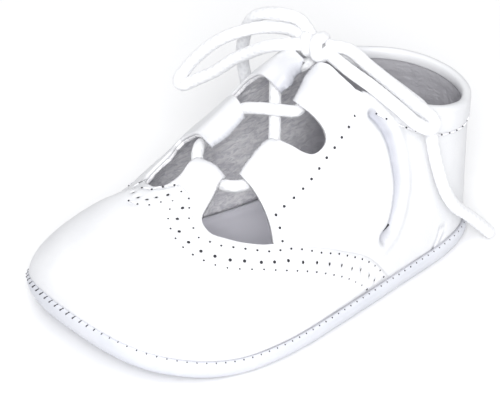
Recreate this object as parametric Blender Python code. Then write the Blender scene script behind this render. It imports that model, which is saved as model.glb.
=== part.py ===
# Small child's ghillie brogue, left shoe.
# Metres in the file, millimetres in the tables. +Z up, toe towards -Y, outer side towards +X.

import math
import bmesh
import bpy
import numpy as np
from mathutils import Vector
from mathutils.geometry import delaunay_2d_cdt

for old in list(bpy.data.objects):
    bpy.data.objects.remove(old, do_unlink=True)

MM = 0.001

# Moves the tables' zero so that the middle of the shoe stands over the origin
PLACE = (-1.0, -1.6, 0.0)

# Driving sizes in millimetres
LENGTH = 104.0
BALL = 28.2
SEAM_HEIGHT = 4.6
TOE_SPRING = 8.0
COLLAR = 34.5
INSTEP = 51.0
WALL = 1.3
OVERLAY = 0.7
GAP = 0.3
SOLE_THICK = 1.9
SOLE_RIM = 2.2
INSOLE = 1.1
LACE = 2.8
LOOP_BORE = 2.05
LOOP_WALL = 0.65

HEEL_CENTRE = 22.0
TOE_CENTRE = 77.0
TOE_TIP = 101.7
TOE_DENT = 0.05

# Plan outline at the seam: share of length from the heel, near and far half width as shares of the ball
OUTLINE = [
    ("heel back", 0.000, 0.000, 0.000),
    ("heel corner", 0.038, 0.457, 0.457),
    ("heel side", 0.115, 0.656, 0.663),
    ("heel centre", 0.231, 0.759, 0.745),
    ("waist", 0.375, 0.851, 0.773),
    ("instep", 0.519, 0.940, 0.858),
    ("ball", 0.663, 1.000, 0.925),
    ("toe joint", 0.779, 0.950, 0.875),
    ("toes", 0.884, 0.791, 0.900),
    ("toe corner", 0.953, 0.552, 0.600),
    ("toe tip", 0.978, 0.000, 0.000),
]

# Sections of the last. Station from the heel is a share of length, top a share of the instep height,
# ridge a share of the ball. close: how far the section closes over. lean: of an open wall, inwards.
# fullness: 2 is an ellipse. far dent: how much flatter the far side is.
SECTIONS = [
    # name, station, top, close, lean, fullness, far dent, ridge
    ("heel back", 0.0000, 0.7843, 0.00, -0.12, 2.20, 0.00, 0.0000),
    ("heel", 0.0769, 0.8137, 0.00, -0.03, 2.14, 0.00, 0.0000),
    ("ankle", 0.1923, 0.8882, 0.00, 0.16, 2.05, 0.00, 0.0000),
    ("collar front", 0.2692, 0.9529, 0.25, 0.21, 1.99, 0.00, -0.0142),
    ("facing top", 0.3462, 1.0000, 0.70, 0.27, 1.93, 0.00, -0.0319),
    ("instep top", 0.4231, 0.9627, 1.00, 0.31, 1.90, 0.00, -0.0532),
    ("instep", 0.4808, 0.8824, 1.00, 0.35, 1.87, 0.00, -0.0709),
    ("throat", 0.5577, 0.7804, 1.00, 0.39, 1.85, 0.00, -0.1064),
    ("throat front", 0.6346, 0.6863, 1.00, 0.40, 1.83, 0.03, -0.1418),
    ("vamp", 0.6923, 0.6235, 1.00, 0.40, 1.78, 0.03, -0.1631),
    ("toe centre", 0.7404, 0.5745, 1.00, 0.40, 1.65, 0.06, -0.1773),
]

# Collar edge: station as a share of length, height over the floor as a share of the back height
COLLAR_EDGE = [
    # name, station, height
    ("back", 0.0000, 1.0000),
    ("back corner", 0.0577, 1.0058),
    ("side", 0.1250, 1.0493),
    ("ankle", 0.1923, 1.1217),
    ("rise", 0.2596, 1.2029),
    ("facing", 0.3269, 1.2928),
]

# Throat edge on the flat plane, heel to toe, near side: name, x, station, corner
NEAR_EDGE = [
    ("third tab top", 4.6, 35.2, 0),
    ("third tab top", 2.6, 37.1, 0),
    ("third tab top", 1.2, 38.0, 0),
    ("third tab tip", 0.1, 39.2, 1),
    ("third tab fold", 0.9, 40.9, 0),
    ("third tab fold", 2.4, 43.8, 0),
    ("third tab front", 3.2, 47.6, 1),
    ("oval", 5.2, 46.9, 0),
    ("oval", 7.9, 45.4, 0),
    ("oval", 9.5, 45.3, 0),
    ("oval", 10.1, 46.8, 0),
    ("oval", 9.8, 49.3, 0),
    ("oval", 8.5, 51.3, 0),
    ("oval", 6.5, 53.0, 0),
    ("second tab rear", 4.9, 54.0, 1),
    ("second tab rear", 4.0, 55.1, 0),
    ("second tab fold", 3.6, 57.1, 0),
    ("second tab fold", 3.6, 60.2, 0),
    ("second tab front", 4.0, 63.6, 1),
    ("leaf", 5.6, 63.3, 0),
    ("leaf", 8.5, 63.1, 0),
    ("leaf", 11.6, 63.6, 0),
    ("leaf point", 14.3, 64.8, 1),
    ("leaf", 13.2, 67.4, 0),
    ("leaf", 11.3, 70.5, 0),
    ("leaf", 9.4, 72.8, 0),
    ("leaf", 7.6, 74.5, 0),
    ("leaf", 5.8, 74.7, 0),
    ("leaf", 4.6, 73.6, 0),
    ("leaf", 3.6, 70.0, 0),
    ("leaf", 3.0, 67.6, 0),
    ("first tab rear", 2.8, 65.5, 1),
    ("first tab fold", 0.1, 65.5, 0),
    ("first tab tip", -2.8, 66.1, 1),
    ("slot", -2.6, 69.7, 0),
    ("slot", -2.8, 73.2, 0),
    ("slot", -3.6, 75.3, 0),
    ("throat front", -5.6, 76.3, 0),
]

# The same edge on the far side, toe to heel
FAR_EDGE = [
    ("slot", -8.2, 75.6, 0),
    ("slot", -9.3, 73.7, 0),
    ("slot", -9.5, 70.0, 0),
    ("slot", -9.5, 66.8, 0),
    ("first gap", -10.8, 63.9, 1),
    ("first gap", -10.9, 62.3, 1),
    ("first flap front", -6.9, 62.3, 0),
    ("first flap corner", -2.8, 63.3, 1),
    ("first flap edge", -2.1, 59.5, 0),
    ("first flap rear", -1.9, 55.3, 1),
    ("first flap rear", -4.5, 53.4, 0),
    ("second gap", -8.0, 51.4, 0),
    ("second gap", -10.0, 49.8, 0),
    ("second gap", -9.2, 48.0, 0),
    ("second flap front", -5.3, 47.3, 0),
    ("second flap corner", 0.7, 48.2, 1),
    ("second flap edge", 1.2, 45.6, 0),
    ("second flap rear", 0.2, 41.9, 1),
    ("facing top", -1.4, 39.8, 0),
    ("facing top", -3.4, 37.4, 0),
    ("facing top", -4.8, 35.4, 0),
]

# Edge of the winged toe piece on the flat plane, from the throat front down to the seam
WING_EDGE = [
    ("under throat", -3.1, 76.1, 0),
    ("under throat", -2.0, 74.6, 0),
    ("step", -1.3, 73.0, 1),
    ("step", 0.6, 73.0, 0),
    ("step corner", 2.5, 73.2, 1),
    ("dip", 3.6, 75.0, 0),
    ("dip", 5.3, 76.0, 0),
    ("dip", 7.2, 76.0, 0),
    ("wing", 9.2, 74.5, 0),
    ("wing", 12.1, 70.6, 0),
    ("wing", 14.6, 66.3, 0),
    ("wing", 16.4, 60.6, 0),
    ("wing", 18.4, 54.5, 0),
    ("wing", 20.3, 47.4, 0),
    ("wing", 21.6, 40.6, 0),
    ("wing end", 23.1, 35.8, 1),
]

# Lower edge of the collar band on the flat plane, near side, back to front
BAND_EDGE = [
    ("back", 0.0, 12.9, 0),
    ("back corner", 4.2, 13.9, 0),
    ("side", 7.0, 17.2, 0),
    ("side", 7.2, 21.7, 0),
    ("side", 6.9, 27.0, 0),
    ("front", 6.7, 32.6, 1),
]

# Lace loops under the tabs: name, then flat x and station of both ends
LACE_LOOPS = [
    ("lace_loop_near_1", (-1.7, 66.9), (2.1, 66.7)),
    ("lace_loop_near_2", (5.2, 62.6), (5.1, 55.6)),
    ("lace_loop_near_3", (4.6, 46.3), (2.6, 41.1)),
    ("lace_loop_far_1", (-6.0, 61.6), (-4.0, 54.9)),
    ("lace_loop_far_2", (-2.5, 47.1), (-2.9, 42.9)),
]


KNOT = (1.0, 15.5, 52.0)
KNOT_RADIUS = 2.0
KNOT_PITCH = 3.1

# Routes of the free lace, as x, y, z
LEFT_LOOP = [
    (-8.0, 14.6, 52.7),
    (-13.5, 12.3, 51.6),
    (-18.0, 9.9, 49.6),
    (-21.5, 8.1, 47.3),
    (-24.5, 6.8, 44.6),
    (-27.5, 5.3, 41.0),
    (-29.5, 4.2, 37.9),
    (-30.5, 3.0, 35.4),
    (-29.5, 3.3, 34.3),
    (-26.0, 5.3, 36.7),
    (-22.5, 6.9, 39.4),
    (-18.5, 8.4, 43.2),
    (-14.5, 9.5, 46.1),
    (-9.5, 10.2, 49.3),
    (-4.6, 11.7, 51.3),
]
RIGHT_LOOP = [
    (7.0, 19.1, 52.1),
    (10.5, 21.0, 49.3),
    (14.5, 22.4, 47.1),
    (19.0, 24.0, 44.6),
    (22.0, 25.0, 42.9),
    (24.2, 26.4, 41.2),
    (24.9, 27.2, 39.5),
    (25.4, 25.4, 38.7),
    (24.4, 22.4, 40.7),
    (22.2, 21.0, 42.7),
    (17.9, 20.0, 44.7),
    (13.5, 18.9, 46.6),
    (10.2, 17.6, 48.2),
    (6.9, 16.3, 50.0),
]
END_FAR = [
    (-5.5, 15.9, 55.4),
    (-9.5, 14.2, 55.8),
    (-15.0, 13.8, 53.8),
    (-19.0, 13.8, 50.7),
    (-22.0, 14.7, 45.9),
    (-24.0, 15.5, 40.9),
    (-25.0, 16.6, 36.5),
    (-25.5, 17.8, 32.1),
    (-25.8, 18.3, 28.1),
    (-26.0, 18.5, 22.9),
]
END_NEAR = [
    (5.4, 20.7, 49.4),
    (8.5, 22.8, 47.6),
    (12.5, 24.4, 45.5),
    (17.0, 26.3, 43.0),
    (20.4, 27.9, 40.6),
    (22.3, 28.4, 37.4),
    (23.1, 28.6, 32.7),
    (23.8, 29.6, 27.2),
    (23.9, 31.9, 20.8),
    (22.8, 36.1, 14.9),
    (21.6, 41.3, 10.2),
    (20.8, 45.9, 5.7),
    (20.3, 49.3, 2.2),
]


def rows_spline(points, count):
    """Closed natural spline through the points."""
    p = np.asarray(points, float)
    k = len(p)
    h = np.linalg.norm(np.roll(p, -1, 0) - p, axis=1) ** 0.75
    a = np.zeros((k, k))
    b = np.zeros((k, 2))
    for i in range(k):
        before, after = h[i - 1], h[i]
        a[i, (i - 1) % k] += before
        a[i, i] += 2 * (before + after)
        a[i, (i + 1) % k] += after
        b[i] = 6 * ((p[(i + 1) % k] - p[i]) / after - (p[i] - p[i - 1]) / before)
    m = np.linalg.solve(a, b)
    start = np.concatenate([[0], np.cumsum(h)])
    out = []
    for s in np.linspace(0, start[-1], count, endpoint=False):
        i = min(int(np.searchsorted(start, s, side="right")) - 1, k - 1)
        u = s - start[i]
        w = h[i] - u
        j = (i + 1) % k
        curve = m[i] * w ** 3 / (6 * h[i]) + m[j] * u ** 3 / (6 * h[i])
        line = (p[i] / h[i] - m[i] * h[i] / 6) * w + (p[j] / h[i] - m[j] * h[i] / 6) * u
        out.append(curve + line)
    return np.array(out)


def outline_halves():
    near = [(r[2] * BALL, r[1] * LENGTH) for r in OUTLINE]
    far = [(-r[3] * BALL, r[1] * LENGTH) for r in OUTLINE[1:-1]]
    c = rows_spline(near + far[::-1], 1440)
    tip = int(np.argmax(c[:, 1]))
    halves = []
    for q in (c[:tip + 1], np.vstack([c[tip:], c[:1]])[::-1]):
        s = np.concatenate([[0], np.cumsum(np.linalg.norm(np.diff(q, axis=0), axis=1))])
        halves.append((s, q))
    return halves


HALVES = outline_halves()


def read(t, xs, ys):
    """Smooth reading of a table, with no overshoot."""
    x, y = np.asarray(xs, float), np.asarray(ys, float)
    h = np.diff(x)
    d = np.diff(y) / h
    m = np.zeros_like(y)
    same = d[:-1] * d[1:] > 0
    m[1:-1] = np.where(same, 2 * d[:-1] * d[1:] / (d[:-1] + d[1:] + 1e-12), 0)
    m[0], m[-1] = d[0], d[-1]
    t = np.clip(t, x[0], x[-1])
    i = np.clip(np.searchsorted(x, t, side="right") - 1, 0, len(x) - 2)
    u = (t - x[i]) / h[i]
    first = (1 + 2 * u) * (1 - u) ** 2 * y[i] + u * (1 - u) ** 2 * h[i] * m[i]
    second = u * u * (3 - 2 * u) * y[i + 1] + u * u * (u - 1) * h[i] * m[i + 1]
    return first + second


COLUMN_UNIT = {"top": INSTEP, "close": 1.0, "lean": 1.0, "fullness": 1.0, "dent": 1.0, "ridge": BALL}
COLUMN_PLACE = {"top": 2, "close": 3, "lean": 4, "fullness": 5, "dent": 6, "ridge": 7}


def section_value(t, column):
    """A column of the sections table at a station."""
    place = COLUMN_PLACE[column]
    stations = [r[1] * LENGTH for r in SECTIONS]
    values = [r[place] * COLUMN_UNIT[column] for r in SECTIONS]
    return read(t, stations, values)


def collar_height(t):
    return read(t, [r[1] * LENGTH for r in COLLAR_EDGE], [r[2] * COLLAR for r in COLLAR_EDGE])


def spring(t):
    return TOE_SPRING * np.clip((np.asarray(t) - 76) / 28.0, 0, None) ** 2


def seam(t):
    return SEAM_HEIGHT + spring(t)


def spine(t):
    """Station of the section's root: it stays on the heel centre and toe centre at the ends."""
    soft = 3.0
    low = HEEL_CENTRE + soft * np.logaddexp(0, (t - HEEL_CENTRE) / soft)
    return TOE_CENTRE - soft * np.logaddexp(0, (TOE_CENTRE - low) / soft)


def surface(side, arc, g):
    """Outer surface of the upper. arc runs along the seam from the heel, g from the seam to the ridge."""
    s, q = HALVES[side]
    px = np.interp(arc, s, q[:, 0])
    pt = np.interp(arc, s, q[:, 1])
    st = spine(pt)
    ridge = section_value(st, "ridge")
    close = section_value(st, "close")
    lean = section_value(np.where(pt < HEEL_CENTRE, pt, st), "lean")
    tip = (np.clip(pt - TOE_CENTRE, 0, None) / (TOE_TIP - TOE_CENTRE)) ** 2
    dent = (section_value(st, "dent") if side == 1 else 0.0) * (1 - tip) + TOE_DENT * tip
    power = 2 / section_value(st, "fullness")
    low = seam(pt)
    phi = np.clip(g, 0, 1) * math.pi / 2
    side_swell = 0.02 * np.sin(np.pi * g) * np.clip((pt - 4) / 20, -0.6, 1)
    flatter = 1 - dent * np.sin(2 * phi) ** 2
    rho = (1 - close) * (1 - lean * g ** 2 + side_swell) + close * flatter * np.cos(phi) ** power
    rise = (1 - close) * g + close * flatter * np.sin(phi) ** power
    x = ridge + (px - ridge) * rho
    t = st + (pt - st) * rho
    z = low + (section_value(st, "top") - low) * rise
    return np.stack([x, LENGTH / 2 - t, z], -1)


def flat(side, arc, g):
    """Place on the flat plane: x and station, drawn in towards the spine as g rises."""
    s, q = HALVES[side]
    px, pt = np.interp(arc, s, q[:, 0]), np.interp(arc, s, q[:, 1])
    st = spine(pt)
    ridge = section_value(st, "ridge")
    return np.stack([ridge + (px - ridge) * (1 - g), st + (pt - st) * (1 - g)], -1)


ROOTS = []
for half in (0, 1):
    arcs = np.linspace(0, HALVES[half][0][-1], 900)
    edge = flat(half, arcs, np.zeros_like(arcs))
    root = flat(half, arcs, np.ones_like(arcs))
    ROOTS.append((arcs, root, edge - root))


def locate(points):
    """Side, arc and g of points on the flat plane."""
    p = np.asarray(points, float).reshape(-1, 2)
    best = np.full(len(p), np.inf)
    side_of = np.zeros(len(p), int)
    arc_of = np.zeros(len(p))
    g_of = np.zeros(len(p))
    for half in (0, 1):
        arcs, root, reach = ROOTS[half]
        w = p[:, None, :] - root[None]
        cross = reach[None, :, 0] * w[..., 1] - reach[None, :, 1] * w[..., 0]
        share = (w * reach[None]).sum(-1) / (reach ** 2).sum(-1)[None]
        change = (cross[:, :-1] * cross[:, 1:] <= 0) & (share[:, :-1] > -0.02) & (share[:, :-1] < 1.08)
        score = np.where(change, np.abs(share[:, :-1] - 0.5), np.inf)
        k = score.argmin(1)
        rows = np.arange(len(p))
        c0, c1 = cross[rows, k], cross[rows, k + 1]
        f = np.clip(c0 / np.where(np.abs(c0 - c1) < 1e-12, 1, c0 - c1), 0, 1)
        arc = arcs[k] + f * (arcs[k + 1] - arcs[k])
        sh = share[rows, k] * (1 - f) + share[rows, k + 1] * f
        # a point that this half can't reach keeps its nearest root
        miss = ~change.any(1)
        near_root = ((w ** 2).sum(-1)).argmin(1)
        arc = np.where(miss, arcs[near_root], arc)
        sh = np.where(miss, 0.0, sh)
        cost = np.where(miss, 5.0, np.where(sh < 0, 1.0 - sh, 0.0))
        use = cost < best
        best = np.where(use, cost, best)
        side_of = np.where(use, half, side_of)
        arc_of = np.where(use, arc, arc_of)
        g_of = np.where(use, 1 - sh, g_of)
    return side_of, arc_of, np.clip(g_of, 0, 1)


def on_surface(points):
    side_of, arc, g = locate(points)
    return np.where(side_of[:, None] == 0, surface(0, arc, g), surface(1, arc, g))


def lift(points, offset):
    """Flat plane to space, moved along the outward normal."""
    p = np.asarray(points, float).reshape(-1, 2)
    step = 0.35
    base = on_surface(p)
    dx = on_surface(p + (step, 0)) - on_surface(p - (step, 0))
    dt = on_surface(p + (0, step)) - on_surface(p - (0, step))
    n = np.cross(dt, dx)
    n /= np.linalg.norm(n, axis=1, keepdims=True) + 1e-12
    centre = np.array([0.0, 0.0, 12.0])
    n *= np.where(((base - centre) * n).sum(1) < 0, -1.0, 1.0)[:, None]
    return base + n * offset


def rounded(rows, spacing):
    """Points along an open run of rows, curved between corners."""
    runs, run = [], [rows[0]]
    for row in rows[1:]:
        run.append(row)
        if row[3]:
            runs.append(run)
            run = [row]
    if len(run) > 1:
        runs.append(run)
    out = []
    for run in runs:
        p = np.array([(r[1], r[2]) for r in run], float)
        ext = np.vstack([2 * p[0] - p[1], p, 2 * p[-1] - p[-2]])
        for i in range(1, len(ext) - 2):
            a, b, c, d = ext[i - 1:i + 3]
            n = max(1, int(round(np.linalg.norm(c - b) / spacing)))
            for u in np.arange(n) / n:
                out.append(0.5 * (2 * b + (c - a) * u + (2 * a - 5 * b + 4 * c - d) * u * u
                                  + (3 * b - a - 3 * c + d) * u ** 3))
    out.append(np.array([rows[-1][1], rows[-1][2]], float))
    return out


def collar_points(side, spacing):
    """Collar edge from the back to the facing, on the flat plane."""
    s, q = HALVES[side]
    last = float(np.interp(COLLAR_EDGE[-1][1] * LENGTH, q[:, 1], s))
    heights = np.linspace(0, 1, 400)
    out = []
    for arc in np.linspace(0, last, int(last / spacing) + 1):
        t = float(np.interp(arc, s, q[:, 1]))
        want = float(collar_height(t))
        z = surface(side, np.full(400, arc), heights)[:, 2]
        g = float(np.interp(want, z, heights))
        out.append(flat(side, np.array(arc), np.array(g)))
    return out


def inside(p, loop):
    """Even-odd test of many points against one loop."""
    x, y = p[:, 0][:, None], p[:, 1][:, None]
    a = np.asarray(loop, float)
    b = np.roll(a, -1, 0)
    cross = (a[None, :, 1] > y) != (b[None, :, 1] > y)
    slope = (b[None, :, 0] - a[None, :, 0]) / np.where(b[:, 1] == a[:, 1], 1e-9, b[:, 1] - a[:, 1])[None]
    hit = cross & (x < slope * (y - a[None, :, 1]) + a[None, :, 0])
    return hit.sum(1) % 2 == 1


def edge_distance(p, loop):
    a = np.asarray(loop, float)
    b = np.roll(a, -1, 0)
    d = b - a
    w = p[:, None] - a[None]
    u = np.clip((w * d[None]).sum(-1) / ((d ** 2).sum(-1)[None] + 1e-12), 0, 1)
    return np.linalg.norm(w - u[..., None] * d[None], axis=-1).min(1)


def fill(loops, inner_points, margin):
    """Triangles between an outer loop and its holes, through the inner points."""
    pts = np.asarray(inner_points, float).reshape(-1, 2)
    if len(pts):
        keep = inside(pts, loops[0])
        for hole in loops[1:]:
            keep &= ~inside(pts, hole)
        for loop in loops:
            keep &= edge_distance(pts, loop) > margin
        pts = pts[keep]
    verts, edges = [], []
    for loop in loops:
        start, n = len(verts), len(loop)
        verts += [Vector((float(v[0]), float(v[1]))) for v in loop]
        edges += [(start + i, start + (i + 1) % n) for i in range(n)]
    verts += [Vector((float(v[0]), float(v[1]))) for v in pts]
    out = delaunay_2d_cdt(verts, edges, [], 0, 1e-6)
    xy = np.array([(v.x, v.y) for v in out[0]])
    tris = np.array([list(f) for f in out[2]])
    mid = xy[tris].mean(1)
    keep = inside(mid, loops[0])
    for hole in loops[1:]:
        keep &= ~inside(mid, hole)
    return xy, tris[keep]


def add_object(name, verts, faces, material, smooth=True):
    mesh = bpy.data.meshes.new(name)
    points = [tuple((float(c) + d) * MM for c, d in zip(v, PLACE)) for v in verts]
    mesh.from_pydata(points, [], [tuple(f) for f in faces])
    mesh.validate()
    for poly in mesh.polygons:
        poly.use_smooth = smooth
    obj = bpy.data.objects.new(name, mesh)
    bpy.context.scene.collection.objects.link(obj)
    mesh.materials.append(material)
    return obj


def face_out(obj):
    """Turns a closed mesh right side out."""
    mesh = obj.data
    volume = 0.0
    for poly in mesh.polygons:
        v = [mesh.vertices[i].co for i in poly.vertices]
        for i in range(1, len(v) - 1):
            volume += v[0].dot(v[i].cross(v[i + 1]))
    if volume < 0:
        mesh.flip_normals()
    return obj


def agree(obj):
    """Makes the winding agree all over, then turns the mesh right side out."""
    bm = bmesh.new()
    bm.from_mesh(obj.data)
    bmesh.ops.recalc_face_normals(bm, faces=bm.faces)
    bm.to_mesh(obj.data)
    bm.free()
    return face_out(obj)


def sheet(name, loops, grid, inner, outer, material, margin=0.8):
    """One closed leather piece between two offsets of the upper's surface."""
    xy, tris = fill(loops, grid, margin)
    n = len(xy)
    verts = np.vstack([lift(xy, outer), lift(xy, inner)])
    faces = [tuple(t) for t in tris]
    faces += [tuple(int(i) + n for i in reversed(t)) for t in tris]
    count = {}
    for a, b, c in tris:
        for e in ((a, b), (b, c), (c, a)):
            count[e] = count.get(e, 0) + 1
    for a, b in count:
        if (b, a) not in count:
            faces.append((int(b), int(a), int(a) + n, int(b) + n))
    return face_out(add_object(name, verts, faces, material))


def grid_points(arc_step, g_rows):
    out = []
    for side in (0, 1):
        total = HALVES[side][0][-1]
        arcs = np.linspace(0, total, int(total / arc_step) + 1)
        for row, g in enumerate(g_rows):
            shift = 0.5 * (row % 2) * arc_step
            ok = arcs[arcs + shift < total] + shift
            out.append(flat(side, ok, np.full(len(ok), g)))
    return np.vstack(out)


def seam_loop(spacing, g=0.0):
    near_total, far_total = HALVES[0][0][-1], HALVES[1][0][-1]
    near = np.linspace(0, near_total, int(near_total / spacing) + 1)
    far = np.linspace(far_total, 0, int(far_total / spacing) + 1)[1:-1]
    return np.vstack([flat(0, near, np.full(len(near), g)), flat(1, far, np.full(len(far), g))])


def material(name, colour, roughness, metallic=0.0):
    m = bpy.data.materials.new(name)
    m.use_nodes = True
    shader = m.node_tree.nodes["Principled BSDF"]
    shader.inputs["Base Color"].default_value = (*colour, 1.0)
    shader.inputs["Roughness"].default_value = roughness
    shader.inputs["Metallic"].default_value = metallic
    return m


LEATHER = material("white_leather", (0.83, 0.83, 0.87), 0.55)
OVERLAY_LEATHER = material("white_overlay_leather", (0.85, 0.85, 0.89), 0.5)
SOLE_LEATHER = material("white_sole_leather", (0.78, 0.78, 0.83), 0.6)
INSOLE_LEATHER = material("grey_insole", (0.45, 0.44, 0.48), 0.75)
LACE_CORD = material("white_lace", (0.88, 0.88, 0.91), 0.8)


def throat_loop(spacing):
    near = collar_points(0, 3.2)
    far = collar_points(1, 3.2)
    edge = rounded(NEAR_EDGE, spacing) + rounded([NEAR_EDGE[-1]] + FAR_EDGE, spacing)[1:]
    return np.array(near + edge + far[::-1][:-1])


def build_upper():
    rows = [0.09, 0.19, 0.29, 0.39, 0.49, 0.59, 0.69, 0.79, 0.89, 0.97]
    loops = [seam_loop(3.2), throat_loop(1.3)]
    return sheet("upper", loops, grid_points(4.0, rows), -WALL, 0.0, LEATHER, 0.7)


def mirrored(point):
    """The same share of the far side as a near-side point on the flat plane."""
    side_of, arc, g = locate([point])
    far_arc = arc * HALVES[1][0][-1] / HALVES[0][0][-1]
    return flat(1, far_arc, g)[0]


def build_wing():
    near = rounded(WING_EDGE, 1.8)
    far = [mirrored(p) for p in near[6:]]
    bridge = [np.array(p) for p in ((-11.7, 76.9), (-9.6, 77.1), (-7.6, 77.2), (-5.6, 77.3))]
    end_near = locate([near[-1]])[1][0]
    end_far = locate([far[-1]])[1][0]
    near_total, far_total = HALVES[0][0][-1], HALVES[1][0][-1]
    low = 0.02
    a = np.linspace(end_near, near_total, int((near_total - end_near) / 3.2))
    b = np.linspace(far_total, end_far, int((far_total - end_far) / 3.2))[1:]
    hem = list(flat(0, a, np.full(len(a), low))) + list(flat(1, b, np.full(len(b), low)))
    front = [p for p in far[::-1] if p[1] < 76.6]
    loop = np.array(hem[1:-1] + front + bridge + near)
    rows = [0.09, 0.19, 0.29, 0.39, 0.49, 0.59, 0.69, 0.79, 0.89, 0.97]
    return sheet("vamp_wing", [loop], grid_points(4.0, rows), GAP, GAP + OVERLAY, OVERLAY_LEATHER, 0.9)


def build_collar_band():
    top = [collar_points(side, 3.6) for side in (0, 1)]
    near_low = rounded(BAND_EDGE, 2.2)
    far_low = [np.array((-p[0], p[1])) for p in near_low[1:]]
    near_top = [p for p in top[0] if p[1] < 32.6]
    far_top = [p for p in top[1] if p[1] < 32.6]
    # the band stops a little under the collar edge
    shrink = []
    for p in near_top[::-1] + far_top[1:]:
        side_of, arc, g = locate([p])
        moved = np.where(side_of[:, None] == 0, flat(0, arc, g - 0.02), flat(1, arc, g - 0.02))
        shrink.append(moved[0])
    loop = np.array(near_low + shrink + far_low[::-1])
    grid = grid_points(4.0, [0.62, 0.68, 0.74])
    return sheet("collar_band", [loop], grid, GAP, GAP + OVERLAY, OVERLAY_LEATHER, 0.7)


def offset_outline(inset, spacing=4.0):
    """Seam outline moved inwards in plan, as x and station."""
    q = seam_loop(spacing)
    tangent = np.roll(q, -1, 0) - np.roll(q, 1, 0)
    tangent /= np.linalg.norm(tangent, axis=1, keepdims=True)
    normal = np.stack([tangent[:, 1], -tangent[:, 0]], -1)
    centre = q.mean(0)
    normal *= np.where(((q - centre) * normal).sum(1) < 0, -1, 1)[:, None]
    return q - normal * inset


def plan_grid(step):
    xs = np.arange(-30, 31, step)
    ts = np.arange(2, LENGTH, step)
    return np.array([(x + 0.5 * step * (j % 2), t) for j, t in enumerate(ts) for x in xs])


def stack(name, loops, mat):
    """Closed body from rings: loops of (points, height function), capped at both ends."""
    n = len(loops[0][0])
    verts, faces = [], []
    for pts, height in loops:
        verts += [(p[0], LENGTH / 2 - p[1], float(height(p[1]))) for p in pts]
    for k in range(len(loops) - 1):
        for i in range(n):
            j = (i + 1) % n
            faces.append((k * n + i, k * n + j, (k + 1) * n + j, (k + 1) * n + i))
    for ring, flip in ((0, True), (len(loops) - 1, False)):
        pts, height = loops[ring]
        xy, tris = fill([pts], plan_grid(7.0), 2.5)
        index = []
        for v in xy:
            d = np.linalg.norm(np.asarray(pts) - v, axis=1)
            i = int(d.argmin())
            if d[i] < 1e-4:
                index.append(ring * n + i)
            else:
                index.append(len(verts))
                verts.append((v[0], LENGTH / 2 - v[1], float(height(v[1]))))
        for t in tris:
            f = [index[i] for i in t]
            faces.append(tuple(reversed(f)) if flip else tuple(f))
    return agree(add_object(name, verts, faces, mat))


def bottom_height(rise):
    return lambda t: rise + spring(t) * 0.93


def rim_height(drop):
    return lambda t: seam(t) - drop


def build_sole():
    rings = [
        (offset_outline(2.6), bottom_height(0.0)),
        (offset_outline(0.9), bottom_height(0.35)),
        (offset_outline(-0.3), bottom_height(1.3)),
        (offset_outline(-0.9), bottom_height(2.6)),
        (offset_outline(-0.7), rim_height(GAP)),
        (offset_outline(1.5), rim_height(GAP)),
        (offset_outline(SOLE_RIM), rim_height(1.3)),
        (offset_outline(SOLE_RIM + 0.5), bottom_height(SOLE_THICK)),
    ]
    return stack("sole", rings, SOLE_LEATHER)


def build_insole():
    low = SOLE_THICK + GAP
    rings = [
        (offset_outline(SOLE_RIM + 1.1), bottom_height(low)),
        (offset_outline(SOLE_RIM + 1.0), bottom_height(low + 0.5)),
        (offset_outline(SOLE_RIM + 1.4), bottom_height(low + INSOLE)),
    ]
    return stack("insole", rings, INSOLE_LEATHER)


def frames(path):
    p = np.asarray(path, float)
    tan = np.gradient(p, axis=0)
    tan /= np.linalg.norm(tan, axis=1, keepdims=True)
    ref = np.array([0.0, 0.0, 1.0]) if abs(tan[0][2]) < 0.8 else np.array([1.0, 0.0, 0.0])
    u = np.cross(ref, tan[0])
    u /= np.linalg.norm(u)
    out = []
    for t in tan:
        u = u - t * u.dot(t)
        u /= np.linalg.norm(u)
        out.append((t, u, np.cross(t, u)))
    return out


def smooth_path(points, spacing):
    p = [np.asarray(v, float) for v in points]
    ext = [2 * p[0] - p[1]] + p + [2 * p[-1] - p[-2]]
    out = []
    for i in range(1, len(ext) - 2):
        a, b, c, d = ext[i - 1:i + 3]
        n = max(2, int(round(np.linalg.norm(c - b) / spacing)))
        for u in np.arange(n) / n:
            out.append(0.5 * (2 * b + (c - a) * u + (2 * a - 5 * b + 4 * c - d) * u * u
                              + (3 * b - a - 3 * c + d) * u ** 3))
    out.append(p[-1])
    return np.array(out)


def ring_points(path, radius, sides, along=0.0):
    rings = []
    for (t, u, v), c in zip(frames(path), path):
        a = np.arange(sides) * 2 * math.pi / sides
        rings.append(c + radius * (np.cos(a)[:, None] * u + np.sin(a)[:, None] * v))
    return rings


def solid_cord(name, path, radius, sides, mat):
    rings = ring_points(path, radius, sides)
    verts = [p for r in rings for p in r]
    faces = []
    for k in range(len(rings) - 1):
        for i in range(sides):
            j = (i + 1) % sides
            faces.append((k * sides + i, k * sides + j, (k + 1) * sides + j, (k + 1) * sides + i))
    faces.append(tuple(range(sides)))
    last = (len(rings) - 1) * sides
    faces.append(tuple(last + i for i in reversed(range(sides))))
    return agree(add_object(name, verts, faces, mat))


def loop_tube(name, path, bore, wall, sides, mat):
    inner = ring_points(path, bore, sides)
    outer = ring_points(path, bore + wall, sides)
    count = len(path)
    verts = [p for r in outer for p in r] + [p for r in inner for p in r]
    n = count * sides
    faces = []
    for k in range(count - 1):
        for i in range(sides):
            j = (i + 1) % sides
            a, b = k * sides + i, k * sides + j
            c, d = (k + 1) * sides + j, (k + 1) * sides + i
            faces.append((a, b, c, d))
            faces.append((n + d, n + c, n + b, n + a))
    for k in (0, count - 1):
        for i in range(sides):
            j = (i + 1) % sides
            faces.append((k * sides + j, k * sides + i, n + k * sides + i, n + k * sides + j))
    return agree(add_object(name, verts, faces, mat))


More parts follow.
